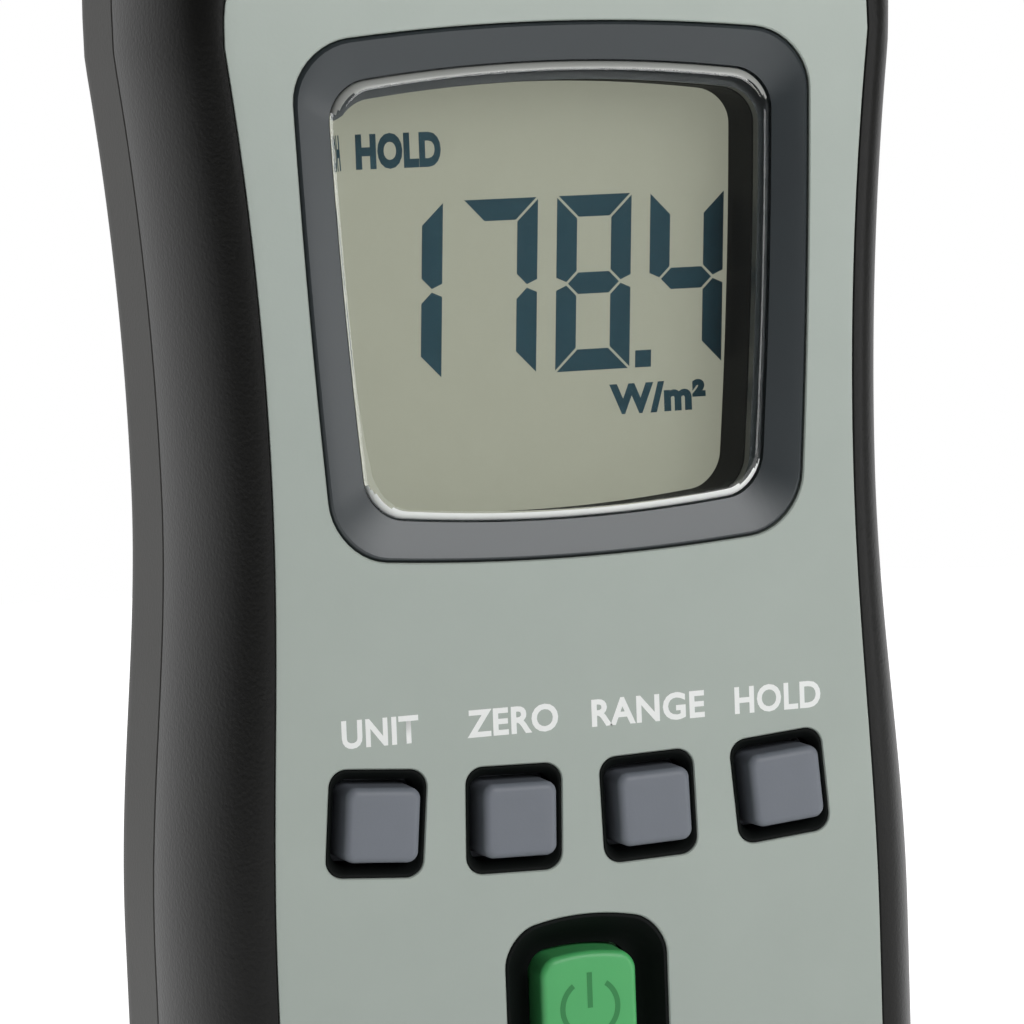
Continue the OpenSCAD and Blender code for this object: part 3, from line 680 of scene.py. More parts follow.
def join(name: str, parts: Sequence[bpy.types.Object]) -> bpy.types.Object:
    """Joins pieces into one, which keeps each piece's materials.

    Args:
        name: Name of the joined object.
        parts: The pieces, which are used up.

    Returns:
        The joined object.
    """
    name = name.replace(" ", "-")
    work = bmesh.new()
    mesh = bpy.data.meshes.new(name)
    for part in parts:
        offset = len(mesh.materials)
        for material in part.data.materials:
            mesh.materials.append(material)
        start = len(work.faces)
        work.from_mesh(part.data)
        work.faces.ensure_lookup_table()
        for f in work.faces[start:]:
            f.material_index += offset
    work.to_mesh(mesh)
    work.free()
    for part in parts:
        bpy.data.meshes.remove(part.data)
    return in_scene(name, mesh)


def applied(made: bpy.types.Object) -> bpy.types.Object:
    """Turns a piece's modifiers into its own mesh.

    Args:
        made: The piece.

    Returns:
        The piece.
    """
    depsgraph = bpy.context.evaluated_depsgraph_get()
    mesh = bpy.data.meshes.new_from_object(made.evaluated_get(depsgraph), depsgraph=depsgraph)
    made.modifiers.clear()
    made.data = mesh
    return made


def carve(target: bpy.types.Object, cutters: Sequence[bpy.types.Object]) -> bpy.types.Object:
    """Cuts pieces out of a target.

    Args:
        target: The piece that is cut.
        cutters: The pieces that cut it, which are used up.

    Returns:
        The target.
    """
    for cutter in cutters:
        cut = target.modifiers.new("cut", "BOOLEAN")
        cut.operation, cut.solver, cut.object = "DIFFERENCE", "EXACT", cutter
        applied(target)
        bpy.data.meshes.remove(cutter.data)
    return target


def smooth(made: bpy.types.Object, angle: float = 32.0, weighted: bool = True) -> bpy.types.Object:
    """Shades a piece smooth, apart from edges sharper than an angle.

    Args:
        made: The piece.
        angle: Sharpest smooth edge, in degrees.
        weighted: True lets large faces stay flat where they meet a roll.

    Returns:
        The piece.
    """
    made.data.shade_smooth()
    made.data.set_sharp_from_angle(angle=math.radians(angle))
    if weighted:
        even = made.modifiers.new("flat faces stay flat", "WEIGHTED_NORMAL")
        even.keep_sharp, even.weight = True, 80
    return made


def dress(
    made: bpy.types.Object, finish: Finish, body: str, *nodes: str, slot: str | None = None
) -> bpy.types.Object:
    """Gives a piece its finish, its body and the CAD nodes that it stands for.

    Args:
        made: The piece, in its place.
        finish: Its finish.
        body: The CAD body that it rides on.
        nodes: The CAD nodes that it replaces.
        slot: The record's material slot; not used.

    Returns:
        The piece.
    """
    if not made.data.materials:
        made.data.materials.append(finish.build())
    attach(made, body)
    if nodes:
        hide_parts(*nodes)
    log.info("%s: %d faces on %s", made.name, len(made.data.polygons), body)
    return made


@dataclass(frozen=True)
class Words:
    """Words laid flat on a plane that faces the reader: their ends, base line and depth, and how bold they are."""

    name: str
    text: str
    height: float
    left: float
    right: float
    base_z: float
    depth: float
    finish: Finish
    bold: float

    def build(self) -> bpy.types.Object:
        """Draws the words as a mesh that rides on the case.

        Returns:
            The words.
        """
        name = self.name.replace(" ", "-")
        curve = bpy.data.curves.new(name, "FONT")
        curve.body, curve.size = self.text, 1.0
        curve.offset, curve.space_character, curve.resolution_u = self.bold, LETTER_SPACING, 4
        letters = in_scene(name, curve)
        bpy.context.view_layer.update()
        depsgraph = bpy.context.evaluated_depsgraph_get()
        mesh = bpy.data.meshes.new_from_object(letters.evaluated_get(depsgraph), depsgraph=depsgraph)
        bpy.data.objects.remove(letters)
        xs, top = [v.co.x for v in mesh.vertices], max(v.co.y for v in mesh.vertices)
        low, wide = min(xs), max(xs) - min(xs)
        y = (FACE_Y + self.depth - INK_T) * MM
        for v in mesh.vertices:
            x, z = (v.co.x - low) / wide * (self.right - self.left), v.co.y / top * self.height
            v.co = Vector(((self.left + x) * MM, y, (self.base_z + z) * MM))
        made = in_scene(name, mesh)
        with edited(mesh) as work:
            work.normal_update()
            if sum(f.normal.y for f in work.faces) > 0:
                bmesh.ops.reverse_faces(work, faces=work.faces)
        return dress(made, self.finish, CASE)


# Sub-assemblies


@dataclass
class Housing:
    """The two moulded shells, the silver panel and the dished wells of the keys."""

    case: Waisted = field(default_factory=lambda: Waisted(32.0, 29.7, 32.0, 0.0, CROWN_Z))
    face: Waisted = field(default_factory=lambda: Waisted(26.85, 24.55, 25.8, 3.4, 106.6))
    back: Waisted = field(default_factory=lambda: Waisted(26.5, 24.2, 26.5, 5.5, 104.5))
    panel_t: float = 1.2
    wall: float = 2.0
    rim: float = 0.35
    groove_w: float = 0.35
    groove_in: float = 0.4
    back_roll: float = 8.0
    steps: int = 22
    post_r: float = 4.0
    screw_well_r: float = 2.8
    boss_r: float = 6.4
    boss_l: float = 9.2
    tub_wall: float = 1.2
    screw_bore_r: float = 1.5
    screw_well_chamfer: float = 0.3
    slot_half: float = 2.2
    sensor_hole_r: float = 8.55
    key_hole: tuple[float, float, float] = (8.1, 8.7, 1.45)
    hole_round: float = 0.1
    ledge: float = 1.5
    panel_fit: float = 0.05
    cover: "Cover" = field(default_factory=lambda: Cover())
    power_well: Pane = field(default_factory=lambda: Pane(6.95, 6.95, 11.4, 24.1, 2.6, 1.27, 1.27))
    key_well: tuple[tuple[float, float, float, float], ...] = (
        (8.0, 8.6, 1.42, 2.0),
        (8.0, 8.6, 1.42, 0.16),
        (7.92, 8.52, 1.38, 0.08),
        (7.78, 8.38, 1.32, 0.08),
        (7.5, 7.98, 1.25, 0.22),
        (7.2, 7.5, 1.18, 0.48),
        (6.98, 7.0, 1.15, 0.8),
        (6.9, 6.9, 1.15, 1.0),
        (6.9, 6.9, 1.15, 3.2),
        (8.0, 8.6, 1.42, 3.2),
    )

    def rolled(self, a: Waisted, b: Waisted, d0: float, d1: float, inwards: bool = False) -> list[Ring]:
        """Makes the rings of a quarter ellipse.

        Args:
            a: The outline it starts from.
            b: The outline it ends on.
            d0: Depth of the first ring.
            d1: Depth of the last ring.
            inwards: True leaves a straight back, and False leaves it sideways.

        Returns:
            The rings, in order along the depth.
        """
        rings, start, end = [], a.points(), b.points()
        for out, deep in quarter(self.steps):
            if inwards:
                out, deep = deep, out
            rings.append(placed(blend_points(start, end, out), d0 + (d1 - d0) * deep))
        return rings

    def sensor_cut(self) -> bpy.types.Object:
        """Makes the cutter of the round opening in the head.

        Returns:
            The cutter.
        """
        r, low, high = self.sensor_hole_r, HEAD_FLOOR_Z - 1, CROWN_Z + 10
        turned = lathe("sensor cut", [(0.0, low), (r, low), (r, high), (0.0, high)])
        return shifted(turned, standing(0, PARTING_D, 0))

    def front_shell(self) -> bpy.types.Object:
        """Builds the front shell: a rolled skin, its rim round the panel and its wall inside.

        Returns:
            The front shell.
        """
        face, wall_in = self.face, self.case.inset(self.wall)
        rings = [face.ring(self.ledge, self.panel_t), face.ring(-self.panel_fit, self.panel_t)]
        rings += [face.ring(-self.panel_fit, 0.1), face.ring(-0.14, 0.0)]
        rings += self.rolled(face.inset(-self.rim), self.case, 0.02, PARTING_D)
        rings += [wall_in.ring(0, PARTING_D), wall_in.ring(0, PARTING_D - 6)]
        rings.append(face.ring(self.ledge, self.panel_t + self.wall))
        made = carve(loft("front shell", rings, closed=True), [self.sensor_cut()])
        return dress(smooth(made), SHELL_ABS, CASE, "front_shell", slot="shell_plastic")

    def back_skin(self) -> bpy.types.Object:
        """Builds the outside of the back shell, with the parting groove at its front.

        Returns:
            The solid that is hollowed.
        """
        start, roll_d = PARTING_D + self.groove_w, BACK_D - self.back_roll
        rings = [self.case.ring(self.groove_in, PARTING_D), self.case.ring(self.groove_in, start - 0.02)]
        rings += [self.case.ring(0.12, start), self.case.ring(0, start + 0.14)]
        rings += self.rolled(self.case, self.back, roll_d, BACK_D, inwards=True)
        return loft("back shell", rings + [self.back.ring(0.6, BACK_D)])

    def hollow(self) -> bpy.types.Object:
        """Makes the cutter that hollows the back shell, less the posts, the boss and the battery tub.

        Returns:
            The cutter.
        """
        inner, inner_back = self.case.inset(self.wall), self.back.inset(self.tub_wall)
        rings = [inner.ring(0, PARTING_D - 1)]
        rings += self.rolled(inner, inner_back, BACK_D - self.back_roll, BACK_D - self.wall, inwards=True)
        c, wall = self.cover, self.tub_wall
        keep = [prism("post", circle(x, z, self.post_r), 0, FAR_D) for x, z in POSTS]
        keep.append(prism("boss", circle(0, TRIPOD_Z, self.boss_r), BACK_D - self.boss_l, FAR_D))
        low, high = (-c.bay_half - wall, c.bay_d - wall, c.bay_z0 - wall), (c.bay_half + wall, FAR_D, c.bay_z1 + wall)
        keep.append(block("tub", low, high))
        low, high = (-c.half - wall, c.inner_d - wall, c.z0 - 3.0), (c.half + wall, FAR_D, c.z1 + wall)
        keep.append(block("seat", low, high))
        return carve(loft("hollow", rings), keep)

    def back_shell(self) -> bpy.types.Object:
        """Builds the back shell with its groove, screw wells, battery tub and cover seat.

        Returns:
            The back shell.
        """
        skin, c = self.back_skin(), self.cover
        cuts = [self.hollow(), block("bay", (-c.bay_half, c.bay_d, c.bay_z0), (c.bay_half, FAR_D, c.bay_z1))]
        seat, wide = c.outline(-0.15), c.outline(-0.45)
        rings = [placed(seat, c.inner_d), placed(seat, BACK_D - 0.3), placed(wide, BACK_D + 0.02), placed(wide, FAR_D)]
        cuts.append(loft("cover seat", rings))
        for s in (-1, 1):
            x = s * c.tab_x
            low = (x - self.slot_half, c.inner_d - 2.0, c.z0 - 2.0)
            cuts.append(block("slot", low, (x + self.slot_half, BACK_D - 1.0, c.bay_z0 + 1.0)))
        for x, z in POSTS:
            cuts.append(prism("screw", circle(x, z, self.screw_bore_r), 0, FAR_D))
            soft = self.screw_well_chamfer
            narrow, wide = circle(x, z, self.screw_well_r), circle(x, z, self.screw_well_r + soft)
            rings = [placed(narrow, SCREW_SEAT_D), placed(narrow, BACK_D - soft)]
            cuts.append(loft("screw well", rings + [placed(wide, BACK_D + 0.02), placed(wide, FAR_D)]))
        cuts.append(prism("insert", circle(0, TRIPOD_Z, INSERT_R), BACK_D - INSERT_L, FAR_D))
        cuts.append(self.sensor_cut())
        return dress(smooth(carve(skin, cuts)), BACK_ABS, CASE, "back_shell", slot="shell_plastic")

    def openings(self, keys: Sequence["FunctionKey"], bezel: Pane) -> list[bpy.types.Object]:
        """Makes the cutters of the panel's openings, each with a small rounded edge.

        Args:
            keys: The function keys.
            bezel: The outline of the bezel.

        Returns:
            The cutters.
        """
        (w, h, r), soft, well = self.key_hole, self.hole_round, self.power_well
        tight, wide = rounded(w, h, r), rounded(w + 2 * soft, h + 2 * soft, r + soft)
        outlines = [("bezel opening", bezel.drawn_in(0.0), bezel.drawn_in(-soft), Matrix())]
        outlines += [("key opening", tight, wide, key.place()) for key in keys]
        outlines.append(("power opening", well.drawn_in(0.0), well.drawn_in(-soft), Matrix()))
        cuts = []
        for name, tight, wide, place in outlines:
            rings = [placed(wide, -1.0), placed(wide, -0.001), placed(tight, soft), placed(tight, 3.0)]
            cuts.append(shifted(loft(name, rings), place))
        return cuts

    def panel(self, keys: Sequence["FunctionKey"], bezel: Pane) -> bpy.types.Object:
        """Builds the silver panel with all its openings.

        Args:
            keys: The four grey keys.
            bezel: The bezel's outline.

        Returns:
            The panel.
        """
        face = self.face
        rings = [face.inset(0.12).ring(0.8, 0.0), face.ring(0.12, 0.0), face.ring(0.03, 0.04)]
        rings += [face.ring(0, 0.12), face.ring(0, self.panel_t - 0.02)]
        made = carve(loft("face panel", rings), self.openings(keys, bezel))
        return dress(smooth(made), FACE_LACQUER, CASE, "face_panel", slot="face_lacquer")

    def wells(self, keys: Sequence["FunctionKey"], power: "PowerKey") -> None:
        """Builds the dished collars round the keys, which are part of the front shell.

        Args:
            keys: The four grey keys.
            power: The power key.
        """
        rings = [placed(rounded(w, h, r), d) for w, h, r, d in self.key_well]
        collars = [shifted(loft(f"{key.name} well", rings, closed=True), key.place()) for key in keys]
        well, hole = self.power_well, power.cap.drawn_in(-0.2)
        rings = [well.ring(0.05, 3.6), well.ring(0.05, 0.18), well.ring(0.12, 0.1)]
        for u in (0.0, 0.12, 0.3, 0.5, 0.72, 0.9, 1.0):
            rings.append(placed(blend_points(well.drawn_in(0.3), hole, u), 0.1 + 2.3 * math.sin(math.pi / 2 * u)))
        collars.append(loft("power key well", rings + [placed(hole, 3.6)], closed=True))
        for collar in collars:
            # The collars are moulded in the front shell's plastic but take the blacker, matte well finish: painted
            # shade in the dishes round the keys
            dress(smooth(collar, 50, weighted=False), WELL_ABS, CASE, slot="shell_plastic")


@dataclass
class Cover:
    """The battery cover: its plate, its two lower tabs and its sprung tongue."""

    half: float = 22.8
    z0: float = 7.8
    z1: float = 59.7
    radius: float = 2.0
    inner_d: float = 30.9
    bay_half: float = 21.6
    bay_d: float = 20.0
    bay_z0: float = 9.0
    bay_z1: float = 58.5
    tab_x: float = 10.7
    tongue_half: float = 5.5
    tongue_l: float = 9.0
    slit_half: float = 0.4
    grips: int = 4
    grip_pitch: float = 2.0
    grip_half: float = 4.0
    grip_w: float = 0.9
    grip_deep: float = 0.6
    grip_top: float = 1.5
    tab_half: float = 2.0
    root_half: float = 1.9

    def outline(self, by: float) -> list[Point2]:
        """Returns the outline of the plate, drawn in all round."""
        return rounded(2 * (self.half - by), self.z1 - self.z0 - 2 * by, self.radius - by, (self.z0 + self.z1) / 2)

    def build(self) -> bpy.types.Object:
        """Builds the cover with its tabs.

        Returns:
            The cover.
        """
        full, soft, flat = (self.outline(by) for by in (0.0, 0.15, 0.8))
        rings = [placed(full, self.inner_d + 0.05), placed(full, BACK_D - 0.2)]
        plate = loft("battery cover", rings + [placed(soft, BACK_D), placed(flat, BACK_D)])
        cuts = []
        for x in (-self.tongue_half, self.tongue_half):
            low = (x - self.slit_half, self.inner_d - 1, self.z1 - self.tongue_l)
            cuts.append(block("slit", low, (x + self.slit_half, FAR_D, self.z1 + 1)))
        for i in range(self.grips):
            z = self.z1 - self.grip_top - i * self.grip_pitch
            low = (-self.grip_half, BACK_D - self.grip_deep, z - self.grip_w)
            cuts.append(block("grip", low, (self.grip_half, FAR_D, z)))
        parts = [carve(plate, cuts)]
        d, z, tab, root = self.inner_d, self.z0, self.tab_half, self.root_half
        for x in (-self.tab_x, self.tab_x):
            parts.append(block("tab", (x - tab, d - 1.1, z - 1.8), (x + tab, d - 0.05, z + 1.1)))
            parts.append(block("root", (x - root, d - 1.0, z + 0.1), (x + root, d + 1.0, z + 1.0)))
        made = smooth(join("battery cover", parts))
        return dress(made, BACK_ABS, "battery_cover", "battery_cover", slot="shell_plastic")


@dataclass
class Display:
    """The bezel, the lens, the black well and the liquid crystal glass with its reading."""

    frame: Pane = field(default_factory=lambda: Pane(21.7, 19.75, 55.4, 95.5, 4.5, 1.4, 1.1, 0.27))
    bezel_w: float = 3.05
    bezel_d: float = 0.8
    bezel_back: float = 3.4
    bezel_rim_d: float = 1.2
    bezel_rim_in: float = 1.25
    lens_t: float = 1.6
    lens_front: float = 0.55
    lens_roll: float = 0.75
    ledge: float = 0.9
    window_drop: float = 0.7
    well_d: float = 3.45
    well_in: float = 1.3
    glass_d: float = 8.75
    glass_t: float = 2.55
    glass_half: float = 18.2
    glass_z: tuple[float, float] = (57.0, 93.9)

    def window(self, by: float, depth: float) -> Ring:
        """Returns the display window as a ring.

        Args:
            by: How far it is drawn in, or out where it is negative.
            depth: Depth of the ring.

        Returns:
            The ring.
        """
        outline = self.frame.drawn_in(self.bezel_w + self.ledge + by)
        return placed([(x, z - self.window_drop) for x, z in outline], depth)

    def bezel(self) -> bpy.types.Object:
        """Builds the sloping bezel as one closed ring.

        Returns:
            The bezel.
        """
        pane, edge, lip = self.frame, 0.36, 0.02
        rings = [pane.ring(0.05, self.bezel_rim_d)]
        rings += [pane.ring(by, d) for by, d in ((0.06, 0.42), (0.12, 0.22), (0.22, 0.09), (edge, lip))]
        for i in range(1, 9):
            u = i / 8
            rings.append(pane.ring(edge + (self.bezel_w - edge) * u, lip + (self.bezel_d - lip) * u**1.1))
        lens_back = self.bezel_d + self.lens_t
        rings += [pane.ring(self.bezel_w, lens_back), self.window(-0.05, lens_back)]
        rings += [self.window(-0.05, self.bezel_back), pane.ring(self.bezel_rim_in, self.bezel_back)]
        rings.append(pane.ring(self.bezel_rim_in, self.bezel_rim_d))
        made = loft("display bezel", rings, closed=True)
        return dress(smooth(made, 28), BEZEL_LACQUER, CASE, "display_bezel", slot="bezel_lacquer")

    def lens(self) -> bpy.types.Object:
        """Builds the clear lens, whose front edge is rolled and carries painted highlight lines.

        Returns:
            The lens.
        """
        pane, edge, start = self.frame, self.lens_roll, self.bezel_w + 0.12
        rings = [pane.ring(start + edge + 1.2, self.lens_front)]
        rings += [pane.ring(start + edge * (1 - out), self.lens_front + edge * deep) for out, deep in quarter(8)]
        rings.append(pane.ring(start, self.bezel_d + self.lens_t - 0.05))
        made = loft("display lens", rings)
        for finish in (LENS_ACRYLIC, EDGE_PAINTED_HIGHLIGHT_ABOVE, EDGE_PAINTED_HIGHLIGHT_BELOW):
            made.data.materials.append(finish.build())
        # Painted highlights: faces of the roll that look up take the grey line, and those that look down take the white
        # line
        deepest = (FACE_Y + self.lens_front + edge * 0.98) * MM
        for face in made.data.polygons:
            if face.center.y < deepest and abs(face.normal.z) > 0.2:
                face.material_index = 1 if face.normal.z > 0 else 2
        return dress(smooth(made), LENS_ACRYLIC, CASE, "display_lens", slot="clear_plastic")

    def well(self) -> bpy.types.Object:
        """Builds the black well behind the lens.

        Returns:
            The well.
        """
        back = self.glass_d - 0.06
        rings = [self.frame.ring(self.well_in, self.well_d), self.window(-0.15, self.well_d)]
        rings += [self.window(0, self.well_d + 0.15), self.window(0, back), self.frame.ring(self.well_in, back)]
        made = loft("display well", rings, closed=True)
        return dress(smooth(made, 28), WELL_ABS, CASE, "lcd_frame", slot="black_plastic")

    def glass(self) -> bpy.types.Object:
        """Builds the liquid crystal glass.

        Returns:
            The glass.
        """
        z0, z1 = self.glass_z
        low, high = (-self.glass_half, self.glass_d, z0), (self.glass_half, self.glass_d + self.glass_t, z1)
        made = block("liquid crystal glass", low, high)
        return dress(smooth(made), LCD_POLARISER, CASE, "lcd_glass", slot="lcd_glass")

    def reading(self) -> None:
        """Draws the digits, the point, the hold mark and the unit."""
        Digits().build("178.4", self.glass_d - 0.02)
        ink_d = self.glass_d - 0.01
        Words("hold mark", "HOLD", 2.65, -14.35, -7.2, 85.9, ink_d, LCD_SEGMENT, 0.055).build()
        Words("unit mark", "W/m²", 2.35, 6.5, 14.95, 65.0, ink_d, LCD_SEGMENT, 0.05).build()


@dataclass
class Digits:
    """Seven-segment digits on the liquid crystal glass."""

    left: float = -14.35
    pitch: float = 8.1
    width: float = 6.45
    height: float = 14.3
    base_z: float = 68.6
    stroke: float = 1.75
    gap: float = 0.28
    slant: float = 0.05
    point_left: float = -1.15
    point_w: float = 1.4
    lit: dict[str, str] = field(default_factory=lambda: {"1": "bc", "7": "abc", "8": "abcdefg", "4": "bcfg"})

    def segments(self) -> dict[str, list[Point2]]:
        """Draws the segments of a digit whose lower left corner is at the origin.

        Returns:
            The outline of each segment.
        """
        w, h, s, g = self.width, self.height, self.stroke, self.gap / 2
        half, m, tip = h / 2, s / 2, s / 2 * 0.6
        return {
            "a": [(g, h), (w - g, h), (w - s - g, h - s), (s + g, h - s)],
            "d": [(g, 0.0), (s + g, s), (w - s - g, s), (w - g, 0.0)],
            "f": [(0.0, h - g), (s, h - s - g), (s, half + m + g), (m, half + g), (0.0, half + tip)],
            "e": [(0.0, g), (0.0, half - tip), (m, half - g), (s, half - m - g), (s, s + g)],
            "b": [(w, h - g), (w, half + tip), (w - m, half + g), (w - s, half + m + g), (w - s, h - s - g)],
            "c": [(w, g), (w - s, s + g), (w - s, half - m - g), (w - m, half - g), (w, half - tip)],
            "g": [
                (m + g, half),
                (s + g, half + m),
                (w - s - g, half + m),
                (w - m - g, half),
                (w - s - g, half - m),
                (s + g, half - m),
            ],
        }

    def build(self, reading: str, depth: float) -> bpy.types.Object:
        """Builds the digits and the point as one piece.

        Args:
            reading: The digits, with a point between two of them.
            depth: Depth of the plane that they lie on.

        Returns:
            The piece.
        """
        x0, x1, side = self.point_left, self.point_left + self.point_w, self.point_w
        shapes = self.segments() | {"point": [(x0, 0.0), (x1, 0.0), (x1, side), (x0, side)]}
        parts, left = [], self.left
        for mark in reading:
            for name in ["point"] if mark == "." else self.lit[mark]:
                outline = [(left + x + z * self.slant, self.base_z + z) for x, z in shapes[name]]
                parts.append(prism(name, outline, depth - INK_T, depth))
            left += 0.0 if mark == "." else self.pitch
        return dress(join("reading", parts), LCD_SEGMENT, CASE)


@dataclass
class FunctionKey:
    """One grey key of the row, with its flange."""

    name: str
    place_in_row: int
    pitch: float = 11.5
    arc: float = 209.0
    row_z: float = 33.6
    size: float = 6.5
    proud: float = 1.1
    edge: float = 0.62
    short: float = 0.5
    lean: float = 0.25
    flank: float = 0.3
    crown: float = 0.03
    flange: float = 1.8
    flange_d: float = 3.25

    def place(self) -> Matrix:
        """Finds the key's place on its arc.

        Returns:
            The matrix that moves a piece there from the origin.
        """
        a = (self.place_in_row - 1.5) * self.pitch / self.arc
        shift = Matrix.Translation((self.arc * math.sin(a), 0, self.row_z + self.arc * (1 - math.cos(a))))
        return shift @ Matrix.Rotation(-a, 4, "Y")

    def ring(self, by: float, radius: float, depth: float) -> Ring:
        """Returns one ring of the cap, drawn in all round and moved toward the right-hand side of the case."""
        outline = rounded(self.size - self.flank - by, self.size - self.short - by, radius)
        return placed([(x + self.lean, z) for x, z in outline], depth)

    def build(self) -> bpy.types.Object:
        """Builds the key as a cap with a rolled edge above its flange.

        Returns:
            The key.
        """
        top = -self.proud + self.crown
        rings = [self.ring(2 * self.edge + 1.2, 0.3, -self.proud), self.ring(2 * self.edge, 0.45, top)]
        for out, deep in quarter(8, 1):
            rings.append(self.ring(2 * self.edge * (1 - out), 0.45 + 0.45 * out, top + self.edge * deep))
        wide = rounded(self.size + self.flange, self.size + self.flange, 0.95)
        rings.append(placed(rounded(self.size, self.size - self.short, 0.9), self.flange_d))
        rings += [placed(wide, self.flange_d), placed(wide, self.flange_d + 1)]
        made = shifted(loft(f"{self.name} key", rings), self.place())
        return dress(smooth(made), KEY_SILICONE, f"{self.name}_key", f"{self.name}_key", slot="key_rubber")


@dataclass
class PowerKey:
    """The green power key with its printed symbol."""

    cap: Pane = field(default_factory=lambda: Pane(4.1, 4.1, 13.7, 21.8, 1.3, 0.55, 0.55, 0.0, 1.0))
    proud: float = 0.4
    edge: float = 0.55
    crown: float = 0.02
    flange: float = 0.9
    flange_d: float = 3.65
    centre_z: float = 17.75
    symbol_r: float = 2.36
    line_half: float = 0.22
    bar_l: float = 2.9
    gap: float = 36.0

    def build(self) -> bpy.types.Object:
        """Builds the key as a cap with a rolled edge above its flange.

        Returns:
            The key.
        """
        cap, edge, top = self.cap, self.edge, -self.proud + self.crown
        rings = [cap.ring(edge + 0.8, -self.proud), cap.ring(edge, top)]
        rings += [cap.ring(edge * (1 - out), top + edge * deep) for out, deep in quarter(8, 1)]
        rings += [cap.ring(0, self.flange_d), cap.ring(-self.flange, self.flange_d)]
        made = loft("power key", rings + [cap.ring(-self.flange, self.flange_d + 1)])
        return dress(smooth(made), POWER_SILICONE, "power_key", "power_key", slot="power_rubber")

    def symbol(self) -> bpy.types.Object:
        """Draws the ring and the bar of the power symbol.

        Returns:
            The symbol.
        """
        z, half, d0, d1 = self.centre_z, self.line_half, -self.proud - 0.015, -self.proud + 0.01
        turns = [math.radians(90 + self.gap + (360 - 2 * self.gap) * i / 48) for i in range(49)]
        radii = (self.symbol_r + half, self.symbol_r - half)
        outer, inner = ([(r * math.cos(a), z + r * math.sin(a)) for a in turns] for r in radii)
        ring = prism("ring", outer + inner[::-1], d0, d1)
        bar = block("bar", (-half, d0, z), (half, d1, z + self.bar_l))
        return dress(join("power symbol", [ring, bar]), GREEN_INK, "power_key")


@dataclass
class Legends:
    """The white words above the function keys, each with its left and right end."""

    height: float = 2.15
    base_z: float = 40.6
    depth: float = -0.004
    bold: float = 0.03
    places: tuple[tuple[str, float, float], ...] = (
        ("UNIT", -19.8, -13.45),
        ("ZERO", -9.42, -1.74),
        ("RANGE", 1.10, 10.84),
        ("HOLD", 13.46, 21.03),
    )

    def build(self) -> None:
        """Prints each word on the panel."""
        for text, x0, x1 in self.places:
            name = f"{text.lower()} legend"
            Words(name, text, self.height, x0, x1, self.base_z, self.depth, WHITE_INK, self.bold).build()


@dataclass
class SensorHead:
    """The holder and the opal dome in the head."""

    top: float = 0.6
    bore_r: float = 6.5
    barrel_r: float = 8.5
    flange_r: float = 9.9
    flange_z: tuple[float, float] = (103.6, 104.95)
    ledge_r: float = 4.9
    ledge_z: float = 106.8
    barrel_low: float = 98.6
    dome_r: float = 5.5
    dome_t: float = 1.2
    dome_h: float = 0.5
    dome_steps: int = 16

    def build(self) -> None:
        """Builds the holder and the dome."""
        top, seat_r, base = CROWN_Z + self.top, self.dome_r + 0.05, CROWN_Z + self.dome_h
        seat, barrel, wide = base - self.dome_t, self.barrel_r, self.flange_r
        under, over = self.flange_z
        outside = [(self.bore_r, self.barrel_low), (barrel, self.barrel_low), (barrel, under), (wide, under)]
        outside += [(wide, over), (barrel, over), (barrel, top - 0.35), (8.42, top - 0.16), (8.25, top - 0.04)]
        inside = [(8.0, top), (6.3, top), (6.1, top - 0.05), (5.75, top - 0.35), (seat_r, top - 0.6), (seat_r, seat)]
        inside += [(self.ledge_r, seat), (self.ledge_r, self.ledge_z), (self.bore_r, self.ledge_z)]
        holder = lathe("sensor holder", outside + inside)
        shares = [1 - i / self.dome_steps for i in range(1, self.dome_steps + 1)]
        arc = [(self.dome_r * share, base + self.dome_h * (1 - share**2)) for share in shares]
        dome = lathe("sensor dome", [(0.0, seat), (self.dome_r, seat), (self.dome_r, base - 0.12)] + arc)
        for made, finish, node, slot in (
            (holder, WELL_ABS, "sensor_holder", "black_plastic"),
            (dome, OPAL_ACRYLIC, "sensor_diffuser", "opal_plastic"),
        ):
            shifted(made, standing(0, PARTING_D, 0))
            dress(smooth(made, 40, weighted=False), finish, CASE, node, slot=slot)


